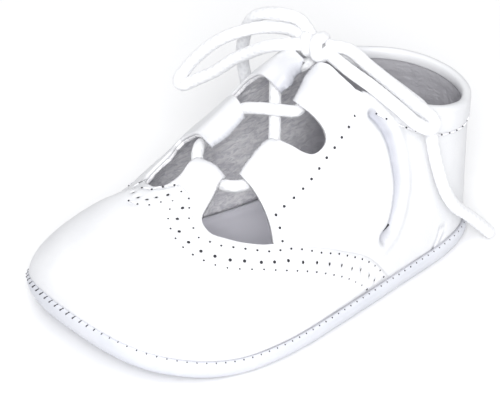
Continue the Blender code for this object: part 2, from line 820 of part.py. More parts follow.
def loop_axis(row):
    """Axis of a lace loop, just inside the tab's wall."""
    name, a, b = row
    p = np.array([np.array(a) * (1 - u) + np.array(b) * u for u in np.linspace(0, 1, 5)])
    return lift(p, -(WALL + GAP + LOOP_BORE + LOOP_WALL))


def beyond(a, b, reach):
    """A point past b on the line from a."""
    d = b - a
    return b + d / np.linalg.norm(d) * reach


def threaded(axis):
    """Points along a loop's axis with a short straight at both ends."""
    return [beyond(axis[1], axis[0], 1.6)] + list(axis) + [beyond(axis[-2], axis[-1], 1.6)]


def lace_route():
    """From the knot through every loop and back to the knot."""
    axis = {row[0]: loop_axis(row) for row in LACE_LOOPS}
    one, two, three = (axis["lace_loop_near_%d" % k] for k in (1, 2, 3))
    far_one, far_two = axis["lace_loop_far_1"], axis["lace_loop_far_2"]
    knot = np.array(KNOT)
    route = [knot + (-1.9, -0.2, -5.0)]
    route += threaded(far_two[::-1]) + [lift([(1.6, 51.6)], -2.6)[0]]
    route += threaded(two[::-1]) + threaded(one[::-1]) + threaded(far_one)
    route += [lift([(0.4, 50.6)], 1.2)[0]] + threaded(three) + [knot + (2.2, -0.4, -5.0)]
    return smooth_path(route, 1.6)


def cord(name, points):
    """Free lace as a round cord."""
    path = smooth_path(points, 6.0)
    curve = bpy.data.curves.new(name, "CURVE")
    curve.dimensions = "3D"
    curve.bevel_depth = LACE / 2 * MM
    curve.bevel_resolution = 2
    curve.use_fill_caps = True
    spline = curve.splines.new("POLY")
    spline.points.add(len(path) - 1)
    for point, spot in zip(spline.points, path):
        x, y, z = (np.asarray(spot) + PLACE) * MM
        point.co = (x, y, z, 1.0)
    obj = bpy.data.objects.new(name, curve)
    bpy.context.scene.collection.objects.link(obj)
    curve.materials.append(LACE_CORD)
    return obj


def knot_route():
    """One and a half turns round the middle of the bow."""
    out = []
    for k in range(7):
        a = 2.2 + k * math.pi / 2
        x = KNOT[0] + (k / 4 - 0.75) * KNOT_PITCH
        out.append((x, KNOT[1] + KNOT_RADIUS * math.cos(a), KNOT[2] + KNOT_RADIUS * math.sin(a)))
    return out


build_sole()
build_insole()
build_upper()
build_wing()
build_collar_band()
for row in LACE_LOOPS:
    loop_tube(row[0], loop_axis(row), LOOP_BORE, LOOP_WALL, 12, LEATHER)
solid_cord("lace_crossings", lace_route(), LACE / 2 - 0.2, 8, LACE_CORD)
cord("lace_knot", knot_route())
cord("bow_loop_far", LEFT_LOOP)
cord("bow_loop_near", RIGHT_LOOP)
cord("lace_end_far", END_FAR)
cord("lace_end_near", END_NEAR)
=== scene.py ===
import math

import bmesh
import bpy
import numpy as np
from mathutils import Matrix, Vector, kdtree, noise
from mathutils.geometry import delaunay_2d_cdt


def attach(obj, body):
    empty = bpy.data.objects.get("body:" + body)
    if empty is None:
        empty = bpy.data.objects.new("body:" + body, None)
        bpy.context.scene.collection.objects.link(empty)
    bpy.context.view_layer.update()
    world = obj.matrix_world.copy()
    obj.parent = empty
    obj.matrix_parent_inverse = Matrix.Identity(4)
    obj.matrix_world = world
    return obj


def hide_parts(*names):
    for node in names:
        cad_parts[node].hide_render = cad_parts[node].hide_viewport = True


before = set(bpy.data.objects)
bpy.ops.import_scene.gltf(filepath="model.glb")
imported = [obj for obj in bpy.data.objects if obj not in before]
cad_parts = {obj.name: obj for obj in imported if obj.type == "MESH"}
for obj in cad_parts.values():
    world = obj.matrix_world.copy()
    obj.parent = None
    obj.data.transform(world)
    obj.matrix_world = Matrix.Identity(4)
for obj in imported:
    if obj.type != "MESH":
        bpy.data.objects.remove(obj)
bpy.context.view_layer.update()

# Child's white ghillie brogue, left shoe. Tables are in millimetres, objects in metres.
# +Z up, toe towards -Y, outer side towards +X.
MM = 0.001
# Moves the tables' zero so that the middle of the shoe stands over the origin
PLACE = np.array((-1.0, -1.6, 0.0))

LENGTH = 104.0
BALL = 28.2
SEAM_HEIGHT = 4.6
TOE_SPRING = 8.0
COLLAR = 34.5
INSTEP = 51.0
WALL = 1.3
SKIN = 0.7
OVERLAY = 0.55
SOLE_THICK = 1.9
SOLE_RIM = 2.2
INSOLE = 1.1
LACE = 2.8
HEEL_CENTRE = 22.0
TOE_CENTRE = 77.0
TOE_TIP = 101.7
TOE_DENT = 0.05
MESH_STEP = 0.36

# Camera: three quarters from the outer side of the toe
CAMERA_AZIMUTH = math.radians(50.0)
CAMERA_ELEVATION = math.radians(30.3)
CAMERA_DISTANCE = 0.650
CAMERA_AIM = Vector((-0.0010, -0.0016, 0.020))
PIXELS_PER_MM = 4.70
FRAME_WIDTH, FRAME_HEIGHT = 500, 400
AIM_PIXEL = (258.5, 198.9)
SENSOR = 36.0

camera_data = bpy.data.cameras.new("camera")
camera = bpy.data.objects.new("camera", camera_data)
bpy.context.scene.collection.objects.link(camera)
bpy.context.scene.camera = camera
back = Vector((math.sin(CAMERA_AZIMUTH) * math.cos(CAMERA_ELEVATION),
               -math.cos(CAMERA_AZIMUTH) * math.cos(CAMERA_ELEVATION),
               math.sin(CAMERA_ELEVATION)))
camera.location = CAMERA_AIM + back * CAMERA_DISTANCE
camera.rotation_euler = (-back).to_track_quat("-Z", "Y").to_euler()
camera_data.sensor_width = SENSOR
camera_data.sensor_fit = "HORIZONTAL"
camera_data.lens = PIXELS_PER_MM * CAMERA_DISTANCE * 1000 * SENSOR / FRAME_WIDTH
camera_data.shift_x = (FRAME_WIDTH / 2 - AIM_PIXEL[0]) / FRAME_WIDTH
camera_data.shift_y = (AIM_PIXEL[1] - FRAME_HEIGHT / 2) / FRAME_WIDTH
camera_data.clip_start = 0.01
camera_data.clip_end = 10.0

# Plan outline at the seam: share of length from the heel, near and far half width as shares of the ball
OUTLINE = [
    ("heel back", 0.000, 0.000, 0.000), ("heel corner", 0.038, 0.457, 0.457),
    ("heel side", 0.115, 0.656, 0.663), ("heel centre", 0.231, 0.759, 0.745),
    ("waist", 0.375, 0.851, 0.773), ("instep", 0.519, 0.940, 0.858), ("ball", 0.663, 1.000, 0.925),
    ("toe joint", 0.779, 0.950, 0.875), ("toes", 0.884, 0.791, 0.900),
    ("toe corner", 0.953, 0.552, 0.600), ("toe tip", 0.978, 0.000, 0.000),
]

# Sections of the last. Station from the heel is a share of length, top a share of the instep height,
# ridge a share of the ball. close: how far the section closes over. lean: of an open wall, inwards.
# fullness: 2 is an ellipse. far dent: how much flatter the far side is.
SECTIONS = [
    # name, station, top, close, lean, fullness, far dent, ridge
    ("heel back", 0.0000, 0.7843, 0.00, -0.12, 2.20, 0.00, 0.0000),
    ("heel", 0.0769, 0.8137, 0.00, -0.03, 2.14, 0.00, 0.0000),
    ("ankle", 0.1923, 0.8882, 0.00, 0.16, 2.05, 0.00, 0.0000),
    ("collar front", 0.2692, 0.9529, 0.25, 0.21, 1.99, 0.00, -0.0142),
    ("facing top", 0.3462, 1.0000, 0.70, 0.27, 1.93, 0.00, -0.0319),
    ("instep top", 0.4231, 0.9627, 1.00, 0.31, 1.90, 0.00, -0.0532),
    ("instep", 0.4808, 0.8824, 1.00, 0.35, 1.87, 0.00, -0.0709),
    ("throat", 0.5577, 0.7804, 1.00, 0.39, 1.85, 0.00, -0.1064),
    ("throat front", 0.6346, 0.6863, 1.00, 0.40, 1.83, 0.03, -0.1418),
    ("vamp", 0.6923, 0.6235, 1.00, 0.40, 1.78, 0.03, -0.1631),
    ("toe centre", 0.7404, 0.5745, 1.00, 0.40, 1.65, 0.06, -0.1773),
]

# Collar edge: station as a share of length, height over the floor as a share of the back height
COLLAR_EDGE = [
    # name, station, height
    ("back", 0.0000, 1.0000), ("back corner", 0.0577, 1.0058), ("side", 0.1250, 1.0493),
    ("ankle", 0.1923, 1.1217), ("rise", 0.2596, 1.2029), ("facing", 0.3269, 1.2928),
]

# Edges on the flat plane as x, station and 1 at a corner.
# Throat on the near side, heel to toe: third tab, oval, second tab, leaf, first tab, slot, throat front
NEAR_EDGE = [
    (4.6, 35.2, 0), (2.6, 37.1, 0), (1.2, 38.0, 0), (0.1, 39.2, 1), (0.9, 40.9, 0), (2.4, 43.8, 0),
    (3.2, 47.6, 1), (5.2, 46.9, 0), (7.9, 45.4, 0), (9.5, 45.3, 0), (10.1, 46.8, 0), (9.8, 49.3, 0),
    (8.5, 51.3, 0), (6.5, 53.0, 0), (4.9, 54.0, 1), (4.0, 55.1, 0), (3.6, 57.1, 0), (3.6, 60.2, 0),
    (4.0, 63.6, 1), (5.6, 63.3, 0), (8.5, 63.1, 0), (11.6, 63.6, 0), (14.3, 64.8, 1), (13.2, 67.4, 0),
    (11.3, 70.5, 0), (9.4, 72.8, 0), (7.6, 74.5, 0), (5.8, 74.7, 0), (4.6, 73.6, 0), (3.6, 70.0, 0),
    (3.0, 67.6, 0), (2.8, 65.5, 1), (0.1, 65.5, 0), (-2.8, 66.1, 1), (-2.6, 69.7, 0), (-2.8, 73.2, 0),
    (-3.6, 75.3, 0), (-5.6, 76.3, 0),
]

# Throat on the far side, toe to heel: slot, first gap, first flap, second gap, second flap, facing top
FAR_EDGE = [
    (-8.2, 75.6, 0), (-9.3, 73.7, 0), (-9.5, 70.0, 0), (-9.5, 66.8, 0), (-10.8, 63.9, 1),
    (-10.9, 62.3, 1), (-6.9, 62.3, 0), (-2.8, 63.3, 1), (-2.1, 59.5, 0), (-1.9, 55.3, 1), (-4.5, 53.4, 0),
    (-8.0, 51.4, 0), (-10.0, 49.8, 0), (-9.2, 48.0, 0), (-5.3, 47.3, 0), (0.7, 48.2, 1), (1.2, 45.6, 0),
    (0.2, 41.9, 1), (-1.4, 39.8, 0), (-3.4, 37.4, 0), (-4.8, 35.4, 0),
]

# Winged toe piece, from the throat front down to the seam
WING_EDGE = [
    (-3.1, 76.1, 0), (-2.0, 74.6, 0), (-1.3, 73.0, 1), (0.6, 73.0, 0), (2.5, 73.2, 1), (3.6, 75.0, 0),
    (5.3, 76.0, 0), (7.2, 76.0, 0), (9.2, 74.5, 0), (12.1, 70.6, 0), (14.6, 66.3, 0), (16.4, 60.6, 0),
    (18.4, 54.5, 0), (20.3, 47.4, 0), (21.6, 40.6, 0), (23.1, 35.8, 1),
]

# Lower edge of the collar band, near side, back to front
BAND_EDGE = [
    (0.0, 12.9, 0), (4.2, 13.9, 0), (7.0, 17.2, 0), (7.2, 21.7, 0), (6.9, 27.0, 0), (6.7, 32.6, 1),
]

# Lace loops under the tabs: name, then flat x and station of both ends
LACE_LOOPS = [
    ("lace_loop_near_1", (-1.7, 66.9), (2.1, 66.7)),
    ("lace_loop_near_2", (5.2, 62.6), (5.1, 55.6)),
    ("lace_loop_near_3", (4.6, 46.3), (2.6, 41.1)),
    ("lace_loop_far_1", (-6.0, 61.6), (-4.0, 54.9)),
    ("lace_loop_far_2", (-2.5, 47.1), (-2.9, 42.9)),
]

KNOT = (1.0, 15.5, 52.0)
KNOT_RADIUS = 2.0
KNOT_PITCH = 3.1

# Routes of the free lace as x, y, z, from the knot
LEFT_LOOP = [
    (-8.0, 14.6, 52.7), (-13.5, 12.3, 51.6), (-18.0, 9.9, 49.6), (-21.5, 8.1, 47.3), (-24.5, 6.8, 44.6),
    (-27.5, 5.3, 41.0), (-29.5, 4.2, 37.9), (-30.5, 3.0, 35.4), (-29.5, 3.3, 34.3), (-26.0, 5.3, 36.7),
    (-22.5, 6.9, 39.4), (-18.5, 8.4, 43.2), (-14.5, 9.5, 46.1), (-9.5, 10.2, 49.3), (-4.6, 11.7, 51.3),
]
RIGHT_LOOP = [
    (7.0, 19.1, 52.1), (10.5, 21.0, 49.3), (14.5, 22.4, 47.1), (19.0, 24.0, 44.6), (22.0, 25.0, 42.9),
    (24.2, 26.4, 41.2), (24.9, 27.2, 39.5), (25.4, 25.4, 38.7), (24.4, 22.4, 40.7), (22.2, 21.0, 42.7),
    (17.9, 20.0, 44.7), (13.5, 18.9, 46.6), (10.2, 17.6, 48.2), (6.9, 16.3, 50.0),
]
END_FAR = [
    (-5.5, 15.9, 55.4), (-9.5, 14.2, 55.8), (-15.0, 13.8, 53.8), (-19.0, 13.8, 50.7), (-22.0, 14.7, 45.9),
    (-24.0, 15.5, 40.9), (-25.0, 16.6, 36.5), (-25.5, 17.8, 32.1), (-25.8, 18.3, 28.1),
    (-26.0, 18.5, 22.9),
]
END_NEAR = [
    (5.4, 20.7, 49.4), (8.5, 22.8, 47.6), (12.5, 24.4, 45.5), (17.0, 26.3, 43.0), (20.4, 27.9, 40.6),
    (22.3, 28.4, 37.4), (23.1, 28.6, 32.7), (23.8, 29.6, 27.2), (23.9, 31.9, 20.8), (22.8, 36.1, 14.9),
    (21.6, 41.3, 10.2), (20.8, 45.9, 5.7), (20.3, 49.3, 2.2),
]


def unit(vectors):
    """Vectors of length 1."""
    return vectors / (np.linalg.norm(vectors, axis=-1, keepdims=True) + 1e-12)


def distances(points):
    """Distance along a line at each of its points."""
    return np.concatenate([[0], np.cumsum(np.linalg.norm(np.diff(points, axis=0), axis=1))])


def rows_spline(points, count):
    """Closed natural spline through the points."""
    p = np.asarray(points, float)
    k = len(p)
    h = np.linalg.norm(np.roll(p, -1, 0) - p, axis=1) ** 0.75
    a = np.zeros((k, k))
    b = np.zeros((k, 2))
    for i in range(k):
        before, after = h[i - 1], h[i]
        a[i, (i - 1) % k] += before
        a[i, i] += 2 * (before + after)
        a[i, (i + 1) % k] += after
        b[i] = 6 * ((p[(i + 1) % k] - p[i]) / after - (p[i] - p[i - 1]) / before)
    m = np.linalg.solve(a, b)
    start = np.concatenate([[0], np.cumsum(h)])
    out = []
    for s in np.linspace(0, start[-1], count, endpoint=False):
        i = min(int(np.searchsorted(start, s, side="right")) - 1, k - 1)
        u = s - start[i]
        w = h[i] - u
        j = (i + 1) % k
        curve = m[i] * w ** 3 / (6 * h[i]) + m[j] * u ** 3 / (6 * h[i])
        line = (p[i] / h[i] - m[i] * h[i] / 6) * w + (p[j] / h[i] - m[j] * h[i] / 6) * u
        out.append(curve + line)
    return np.array(out)


def outline_halves():
    near = [(r[2] * BALL, r[1] * LENGTH) for r in OUTLINE]
    far = [(-r[3] * BALL, r[1] * LENGTH) for r in OUTLINE[1:-1]]
    c = rows_spline(near + far[::-1], 1440)
    tip = int(np.argmax(c[:, 1]))
    halves = []
    for q in (c[:tip + 1], np.vstack([c[tip:], c[:1]])[::-1]):
        halves.append((distances(q), q))
    return halves


HALVES = outline_halves()


def read(t, xs, ys):
    """Smooth reading of a table, with no overshoot."""
    x, y = np.asarray(xs, float), np.asarray(ys, float)
    h = np.diff(x)
    d = np.diff(y) / h
    m = np.zeros_like(y)
    same = d[:-1] * d[1:] > 0
    m[1:-1] = np.where(same, 2 * d[:-1] * d[1:] / (d[:-1] + d[1:] + 1e-12), 0)
    m[0], m[-1] = d[0], d[-1]
    t = np.clip(t, x[0], x[-1])
    i = np.clip(np.searchsorted(x, t, side="right") - 1, 0, len(x) - 2)
    u = (t - x[i]) / h[i]
    first = (1 + 2 * u) * (1 - u) ** 2 * y[i] + u * (1 - u) ** 2 * h[i] * m[i]
    second = u * u * (3 - 2 * u) * y[i + 1] + u * u * (u - 1) * h[i] * m[i + 1]
    return first + second


COLUMNS = {"top": (2, INSTEP), "close": (3, 1.0), "lean": (4, 1.0), "fullness": (5, 1.0), "dent": (6, 1.0),
           "ridge": (7, BALL)}


def section_value(t, column):
    """A column of the sections table at a station."""
    index, unit_size = COLUMNS[column]
    return read(t, [r[1] * LENGTH for r in SECTIONS], [r[index] * unit_size for r in SECTIONS])


def collar_height(t):
    return read(t, [r[1] * LENGTH for r in COLLAR_EDGE], [r[2] * COLLAR for r in COLLAR_EDGE])


def spring(t):
    return TOE_SPRING * np.clip((np.asarray(t) - 76) / 28.0, 0, None) ** 2


def seam(t):
    return SEAM_HEIGHT + spring(t)


def spine(t):
    """Station of the section's root: it stays on the heel centre and toe centre at the ends."""
    soft = 3.0
    low = HEEL_CENTRE + soft * np.logaddexp(0, (t - HEEL_CENTRE) / soft)
    return TOE_CENTRE - soft * np.logaddexp(0, (TOE_CENTRE - low) / soft)


def surface(side, arc, g):
    """Outer surface of the upper. arc runs along the seam from the heel, g from the seam to the ridge."""
    s, q = HALVES[side]
    px = np.interp(arc, s, q[:, 0])
    pt = np.interp(arc, s, q[:, 1])
    st = spine(pt)
    ridge = section_value(st, "ridge")
    close = section_value(st, "close")
    lean = section_value(np.where(pt < HEEL_CENTRE, pt, st), "lean")
    tip = (np.clip(pt - TOE_CENTRE, 0, None) / (TOE_TIP - TOE_CENTRE)) ** 2
    dent = (section_value(st, "dent") if side == 1 else 0.0) * (1 - tip) + TOE_DENT * tip
    power = 2 / section_value(st, "fullness")
    low = seam(pt)
    phi = np.clip(g, 0, 1) * math.pi / 2
    side_swell = 0.02 * np.sin(np.pi * g) * np.clip((pt - 4) / 20, -0.6, 1)
    flatter = 1 - dent * np.sin(2 * phi) ** 2
    rho = (1 - close) * (1 - lean * g ** 2 + side_swell) + close * flatter * np.cos(phi) ** power
    rise = (1 - close) * g + close * flatter * np.sin(phi) ** power
    x = ridge + (px - ridge) * rho
    t = st + (pt - st) * rho
    z = low + (section_value(st, "top") - low) * rise
    return np.stack([x, LENGTH / 2 - t, z], -1)


def flat(side, arc, g):
    """Place on the flat plane: x and station, drawn in towards the spine as g rises."""
    s, q = HALVES[side]
    px, pt = np.interp(arc, s, q[:, 0]), np.interp(arc, s, q[:, 1])
    st = spine(pt)
    ridge = section_value(st, "ridge")
    return np.stack([ridge + (px - ridge) * (1 - g), st + (pt - st) * (1 - g)], -1)


ROOTS = []
for half in (0, 1):
    arcs = np.linspace(0, HALVES[half][0][-1], 900)
    edge = flat(half, arcs, np.zeros_like(arcs))
    root = flat(half, arcs, np.ones_like(arcs))
    ROOTS.append((arcs, root, edge - root))


def locate(points):
    """Side, arc and g of points on the flat plane."""
    p = np.asarray(points, float).reshape(-1, 2)
    best = np.full(len(p), np.inf)
    side_of = np.zeros(len(p), int)
    arc_of = np.zeros(len(p))
    g_of = np.zeros(len(p))
    for half in (0, 1):
        arcs, root, reach = ROOTS[half]
        w = p[:, None, :] - root[None]
        cross = reach[None, :, 0] * w[..., 1] - reach[None, :, 1] * w[..., 0]
        share = (w * reach[None]).sum(-1) / (reach ** 2).sum(-1)[None]
        change = (cross[:, :-1] * cross[:, 1:] <= 0) & (share[:, :-1] > -0.02) & (share[:, :-1] < 1.08)
        score = np.where(change, np.abs(share[:, :-1] - 0.5), np.inf)
        k = score.argmin(1)
        rows = np.arange(len(p))
        c0, c1 = cross[rows, k], cross[rows, k + 1]
        f = np.clip(c0 / np.where(np.abs(c0 - c1) < 1e-12, 1, c0 - c1), 0, 1)
        arc = arcs[k] + f * (arcs[k + 1] - arcs[k])
        sh = share[rows, k] * (1 - f) + share[rows, k + 1] * f
        # a point that this half can't reach keeps its nearest root
        miss = ~change.any(1)
        near_root = ((w ** 2).sum(-1)).argmin(1)
        arc = np.where(miss, arcs[near_root], arc)
        sh = np.where(miss, 0.0, sh)
        cost = np.where(miss, 5.0, np.where(sh < 0, 1.0 - sh, 0.0))
        use = cost < best
        best = np.where(use, cost, best)
        side_of = np.where(use, half, side_of)
        arc_of = np.where(use, arc, arc_of)
        g_of = np.where(use, 1 - sh, g_of)
    return side_of, arc_of, np.clip(g_of, 0, 1)


def on_surface(points):
    side_of, arc, g = locate(points)
    return np.where(side_of[:, None] == 0, surface(0, arc, g), surface(1, arc, g))


# A place inside the shoe, which outward normals point away from
MIDDLE = np.array([0.0, 0.0, 12.0])


def lift(points, offset=0.0):
    """Flat plane to space, moved along the outward normal."""
    p = np.asarray(points, float).reshape(-1, 2)
    step = 0.35
    base = on_surface(p)
    dx = on_surface(p + (step, 0)) - on_surface(p - (step, 0))
    dt = on_surface(p + (0, step)) - on_surface(p - (0, step))
    n = unit(np.cross(dt, dx))
    n *= np.where(((base - MIDDLE) * n).sum(1) < 0, -1.0, 1.0)[:, None]
    return base + n * offset


def spline_run(points, spacing, least):
    """Points of a smooth curve through a run, up to its last point."""
    p = np.asarray(points, float)
    ext = np.vstack([2 * p[0] - p[1], p, 2 * p[-1] - p[-2]])
    out = []
    for i in range(1, len(ext) - 2):
        a, b, c, d = ext[i - 1:i + 3]
        n = max(least, int(round(np.linalg.norm(c - b) / spacing)))
        for u in np.arange(n) / n:
            out.append(0.5 * (2 * b + (c - a) * u + (2 * a - 5 * b + 4 * c - d) * u * u
                              + (3 * b - a - 3 * c + d) * u ** 3))
    return out


def smooth_path(points, spacing):
    return np.array(spline_run(points, spacing, 2) + [np.asarray(points[-1], float)])


def rounded(rows, spacing):
    """Points along an open edge, curved between its corners."""
    runs, run = [], [rows[0]]
    for row in rows[1:]:
        run.append(row)
        if row[2]:
            runs.append(run)
            run = [row]
    if len(run) > 1:
        runs.append(run)
    out = []
    for run in runs:
        out += spline_run([row[:2] for row in run], spacing, 1)
    return out + [np.array(rows[-1][:2], float)]


def collar_points(side, spacing):
    """Collar edge from the back to the facing, on the flat plane."""
    s, q = HALVES[side]
    last = float(np.interp(COLLAR_EDGE[-1][1] * LENGTH, q[:, 1], s))
    heights = np.linspace(0, 1, 400)
    out = []
    for arc in np.linspace(0, last, int(last / spacing) + 1):
        t = float(np.interp(arc, s, q[:, 1]))
        want = float(collar_height(t))
        z = surface(side, np.full(400, arc), heights)[:, 2]
        g = float(np.interp(want, z, heights))
        out.append(flat(side, np.array(arc), np.array(g)))
    return out


def inside(p, loop):
    """Even-odd test of many points against one loop."""
    x, y = p[:, 0][:, None], p[:, 1][:, None]
    a = np.asarray(loop, float)
    b = np.roll(a, -1, 0)
    cross = (a[None, :, 1] > y) != (b[None, :, 1] > y)
    slope = (b[None, :, 0] - a[None, :, 0]) / np.where(b[:, 1] == a[:, 1], 1e-9, b[:, 1] - a[:, 1])[None]
    hit = cross & (x < slope * (y - a[None, :, 1]) + a[None, :, 0])
    return hit.sum(1) % 2 == 1


def seam_loop(spacing):
    near_total, far_total = HALVES[0][0][-1], HALVES[1][0][-1]
    near = np.linspace(0, near_total, int(near_total / spacing) + 1)
    far = np.linspace(far_total, 0, int(far_total / spacing) + 1)[1:-1]
    return np.vstack([flat(0, near, np.zeros(len(near))), flat(1, far, np.zeros(len(far)))])


def throat_loop(spacing):
    near = collar_points(0, 3.2)
    far = collar_points(1, 3.2)
    edge = rounded(NEAR_EDGE, spacing) + rounded([NEAR_EDGE[-1]] + FAR_EDGE, spacing)[1:]
    return np.array(near + edge + far[::-1][:-1])


# Looks

NOISE = "ShaderNodeTexNoise"
CELLS = "ShaderNodeTexVoronoi"
# Grey blue of the painted shade in the leather's creases, folds, heel pleats and along the toe seam
PAINTED_SHADE_TINT = (0.40, 0.41, 0.47)


def node_material(name, roughness):
    m = bpy.data.materials.new(name)
    m.use_nodes = True
    shader = m.node_tree.nodes["Principled BSDF"]
    shader.inputs["Roughness"].default_value = roughness
    return m, m.node_tree, shader


def add(tree, kind, **values):
    node = tree.nodes.new(kind)
    for key, value in values.items():
        if key in node.inputs:
            node.inputs[key].default_value = value
        else:
            setattr(node, key, value)
    return node


def link(tree, source, out, target, into):
    tree.links.new(source.outputs[out], target.inputs[into])


def place(tree, stretch=(1.0, 1.0, 1.0), source="Object"):
    coords = add(tree, "ShaderNodeTexCoord")
    mapping = add(tree, "ShaderNodeMapping")
    mapping.inputs["Scale"].default_value = stretch
    link(tree, coords, source, mapping, "Vector")
    return mapping


def blend_colour(tree, low, high, factor_node, factor_out, start, end):
    ramp = add(tree, "ShaderNodeValToRGB")
    ramp.color_ramp.elements[0].position = start
    ramp.color_ramp.elements[1].position = end
    ramp.color_ramp.elements[0].color = (*low, 1.0)
    ramp.color_ramp.elements[1].color = (*high, 1.0)
    link(tree, factor_node, factor_out, ramp, "Fac")
    return ramp


def texture(tree, where, kind, **values):
    node = add(tree, kind, **values)
    link(tree, where, "Vector", node, "Vector")
    return node


def maths(tree, operation, *inputs):
    """A maths node and its output. Each input is a number, or a node and its output."""
    node = add(tree, "ShaderNodeMath", operation=operation)
    for k, value in enumerate(inputs):
        if isinstance(value, float):
            node.inputs[k].default_value = value
        else:
            link(tree, *value, node, k)
    return node, 0


def lay_over(tree, ramp, colour, source, out, shader):
    """Base colour from the ramp, with another colour where the source says."""
    mix = add(tree, "ShaderNodeMix", data_type="RGBA")
    mix.inputs[7].default_value = (*colour, 1.0)
    link(tree, source, out, mix, 0)
    link(tree, ramp, "Color", mix, 6)
    link(tree, mix, 2, shader, "Base Color")


def bumps(tree, shader, *layers):
    """Bump layers, widest first: a node, its output, strength and depth."""
    under = None
    for source, out, strength, depth in layers:
        bump = add(tree, "ShaderNodeBump", Strength=strength, Distance=depth)
        link(tree, source, out, bump, "Height")
        if under:
            link(tree, under, "Normal", bump, "Normal")
        under = bump
    link(tree, under, "Normal", shader, "Normal")


def leather(name, low, high, roughness, grain=2300.0, depth=0.00004, coat=0.1):
    """Fine-grained leather: small cells over a soft unevenness, with painted shade where the mesh says so."""
    m, tree, shader = node_material(name, roughness)
    where = place(tree)
    cells = texture(tree, where, CELLS, feature="SMOOTH_F1", Scale=grain, Smoothness=0.6)
    uneven = texture(tree, where, NOISE, Scale=grain * 0.11, Detail=4.0, Roughness=0.55)
    tone = texture(tree, where, NOISE, Scale=90.0, Detail=3.0, Roughness=0.5)
    ramp = blend_colour(tree, low, high, tone, "Fac", 0.35, 0.65)
    # painted shade: the base colour goes towards the grey blue where the mesh's attribute rises
    painted_shade = add(tree, "ShaderNodeAttribute", attribute_name="painted_shade")
    lay_over(tree, ramp, PAINTED_SHADE_TINT, painted_shade, "Fac", shader)
    bumps(tree, shader, (uneven, "Fac", 0.5, depth * 4), (cells, "Distance", 0.55, depth))
    shader.inputs["Coat Weight"].default_value = coat
    shader.inputs["Coat Roughness"].default_value = 0.35
    shader.inputs["Specular IOR Level"].default_value = 0.4
    return m


def wrinkled_lining():
    """Grey glove leather with long fine wrinkles along the shoe, painted lighter on their crests and darker
    in their folds as painted light and shade, with painted shade round the heel.
    """
    m, tree, shader = node_material("lining", 0.55)
    along = place(tree, (560.0, 330.0, 820.0))
    folds = texture(tree, along, NOISE, Scale=1.0, Detail=5.0, Roughness=0.6, Distortion=1.3)
    where = place(tree)
    grain = texture(tree, where, CELLS, feature="SMOOTH_F1", Scale=2100.0)
    # The wrinkles' crests are painted lighter and their folds darker: painted light and shade
    ramp = blend_colour(tree, (0.68, 0.675, 0.71), (1.0, 0.995, 1.0), folds, "Fac", 0.38, 0.62)
    # Painted shade towards the back of the heel
    parts = texture(tree, where, "ShaderNodeSeparateXYZ")
    heel = add(tree, "ShaderNodeMapRange")
    heel.inputs["From Min"].default_value = 0.024
    heel.inputs["From Max"].default_value = 0.032
    link(tree, parts, "Y", heel, "Value")
    lay_over(tree, ramp, (0.40, 0.395, 0.42), heel, "Result", shader)
    bumps(tree, shader, (folds, "Fac", 0.7, 0.0004), (grain, "Distance", 0.4, 0.00004))
    return m


def insole_look():
    m, tree, shader = node_material("insole_suede", 0.8)
    where = place(tree)
    nap = texture(tree, where, NOISE, Scale=1500.0, Detail=5.0, Roughness=0.7)
    tone = texture(tree, where, NOISE, Scale=60.0, Detail=3.0, Roughness=0.5)
    ramp = blend_colour(tree, (0.60, 0.595, 0.65), (0.68, 0.675, 0.73), tone, "Fac", 0.3, 0.7)
    link(tree, ramp, "Color", shader, "Base Color")
    bumps(tree, shader, (nap, "Fac", 0.4, 0.00005))
    shader.inputs["Sheen Weight"].default_value = 0.2
    return m


def braid(name, low, high, strands, depth):
    """Round braided cord. UV runs round the cord and along it, in turns of its girth."""
    m, tree, shader = node_material(name, 0.85)
    parts = texture(tree, place(tree, source="UV"), "ShaderNodeSeparateXYZ")
    turn = maths(tree, "MULTIPLY", (parts, "X"), 2 * math.pi * strands)
    waves = []
    for sign in (1.0, -1.0):
        run = maths(tree, "MULTIPLY", (parts, "Y"), sign * 2 * math.pi * strands * 0.8)
        waves.append(maths(tree, "SINE", maths(tree, "ADD", turn, run)))
    top = maths(tree, "MAXIMUM", *waves)
    fibre = texture(tree, place(tree), NOISE, Scale=5200.0, Detail=3.0, Roughness=0.7)
    height = maths(tree, "MULTIPLY_ADD", (fibre, "Fac"), 0.5, top)
    # The braid's ridges are painted lighter and its grooves darker: painted light and shade
    shift = maths(tree, "MULTIPLY_ADD", top, 0.35, 0.5)
    ramp = blend_colour(tree, low, high, *shift, 0.1, 0.75)
    link(tree, ramp, "Color", shader, "Base Color")
    bumps(tree, shader, (*height, 0.6, depth))
    shader.inputs["Sheen Weight"].default_value = 0.25
    return m


def plain_detail(name, low, high, roughness, scale):
    """Small detail such as thread: a slight change of tone and a fibre bump."""
    m, tree, shader = node_material(name, roughness)
    fibre = texture(tree, place(tree), NOISE, Scale=scale, Detail=3.0, Roughness=0.6)
    ramp = blend_colour(tree, low, high, fibre, "Fac", 0.35, 0.65)
    link(tree, ramp, "Color", shader, "Base Color")
    bumps(tree, shader, (fibre, "Fac", 0.5, 0.00003))
    return m


WHITE = leather("white_leather", (0.74, 0.745, 0.765), (0.78, 0.785, 0.80), 0.5)
WING_WHITE = leather("wing_leather", (0.75, 0.755, 0.775), (0.79, 0.795, 0.81), 0.48)
# Darker, bluer copy of the white leather: painted shade on the sole band
SOLE_WHITE = leather("sole_leather", (0.62, 0.635, 0.685), (0.67, 0.68, 0.725), 0.55, 1900.0, 0.00005, 0.05)
LINING = wrinkled_lining()
INSOLE_GREY = insole_look()
CORD = braid("lace_braid", (0.76, 0.765, 0.79), (0.82, 0.825, 0.84), 5.0, 0.00007)
THREAD = plain_detail("thread", (0.80, 0.80, 0.84), (0.92, 0.92, 0.94), 0.6, 4000.0)
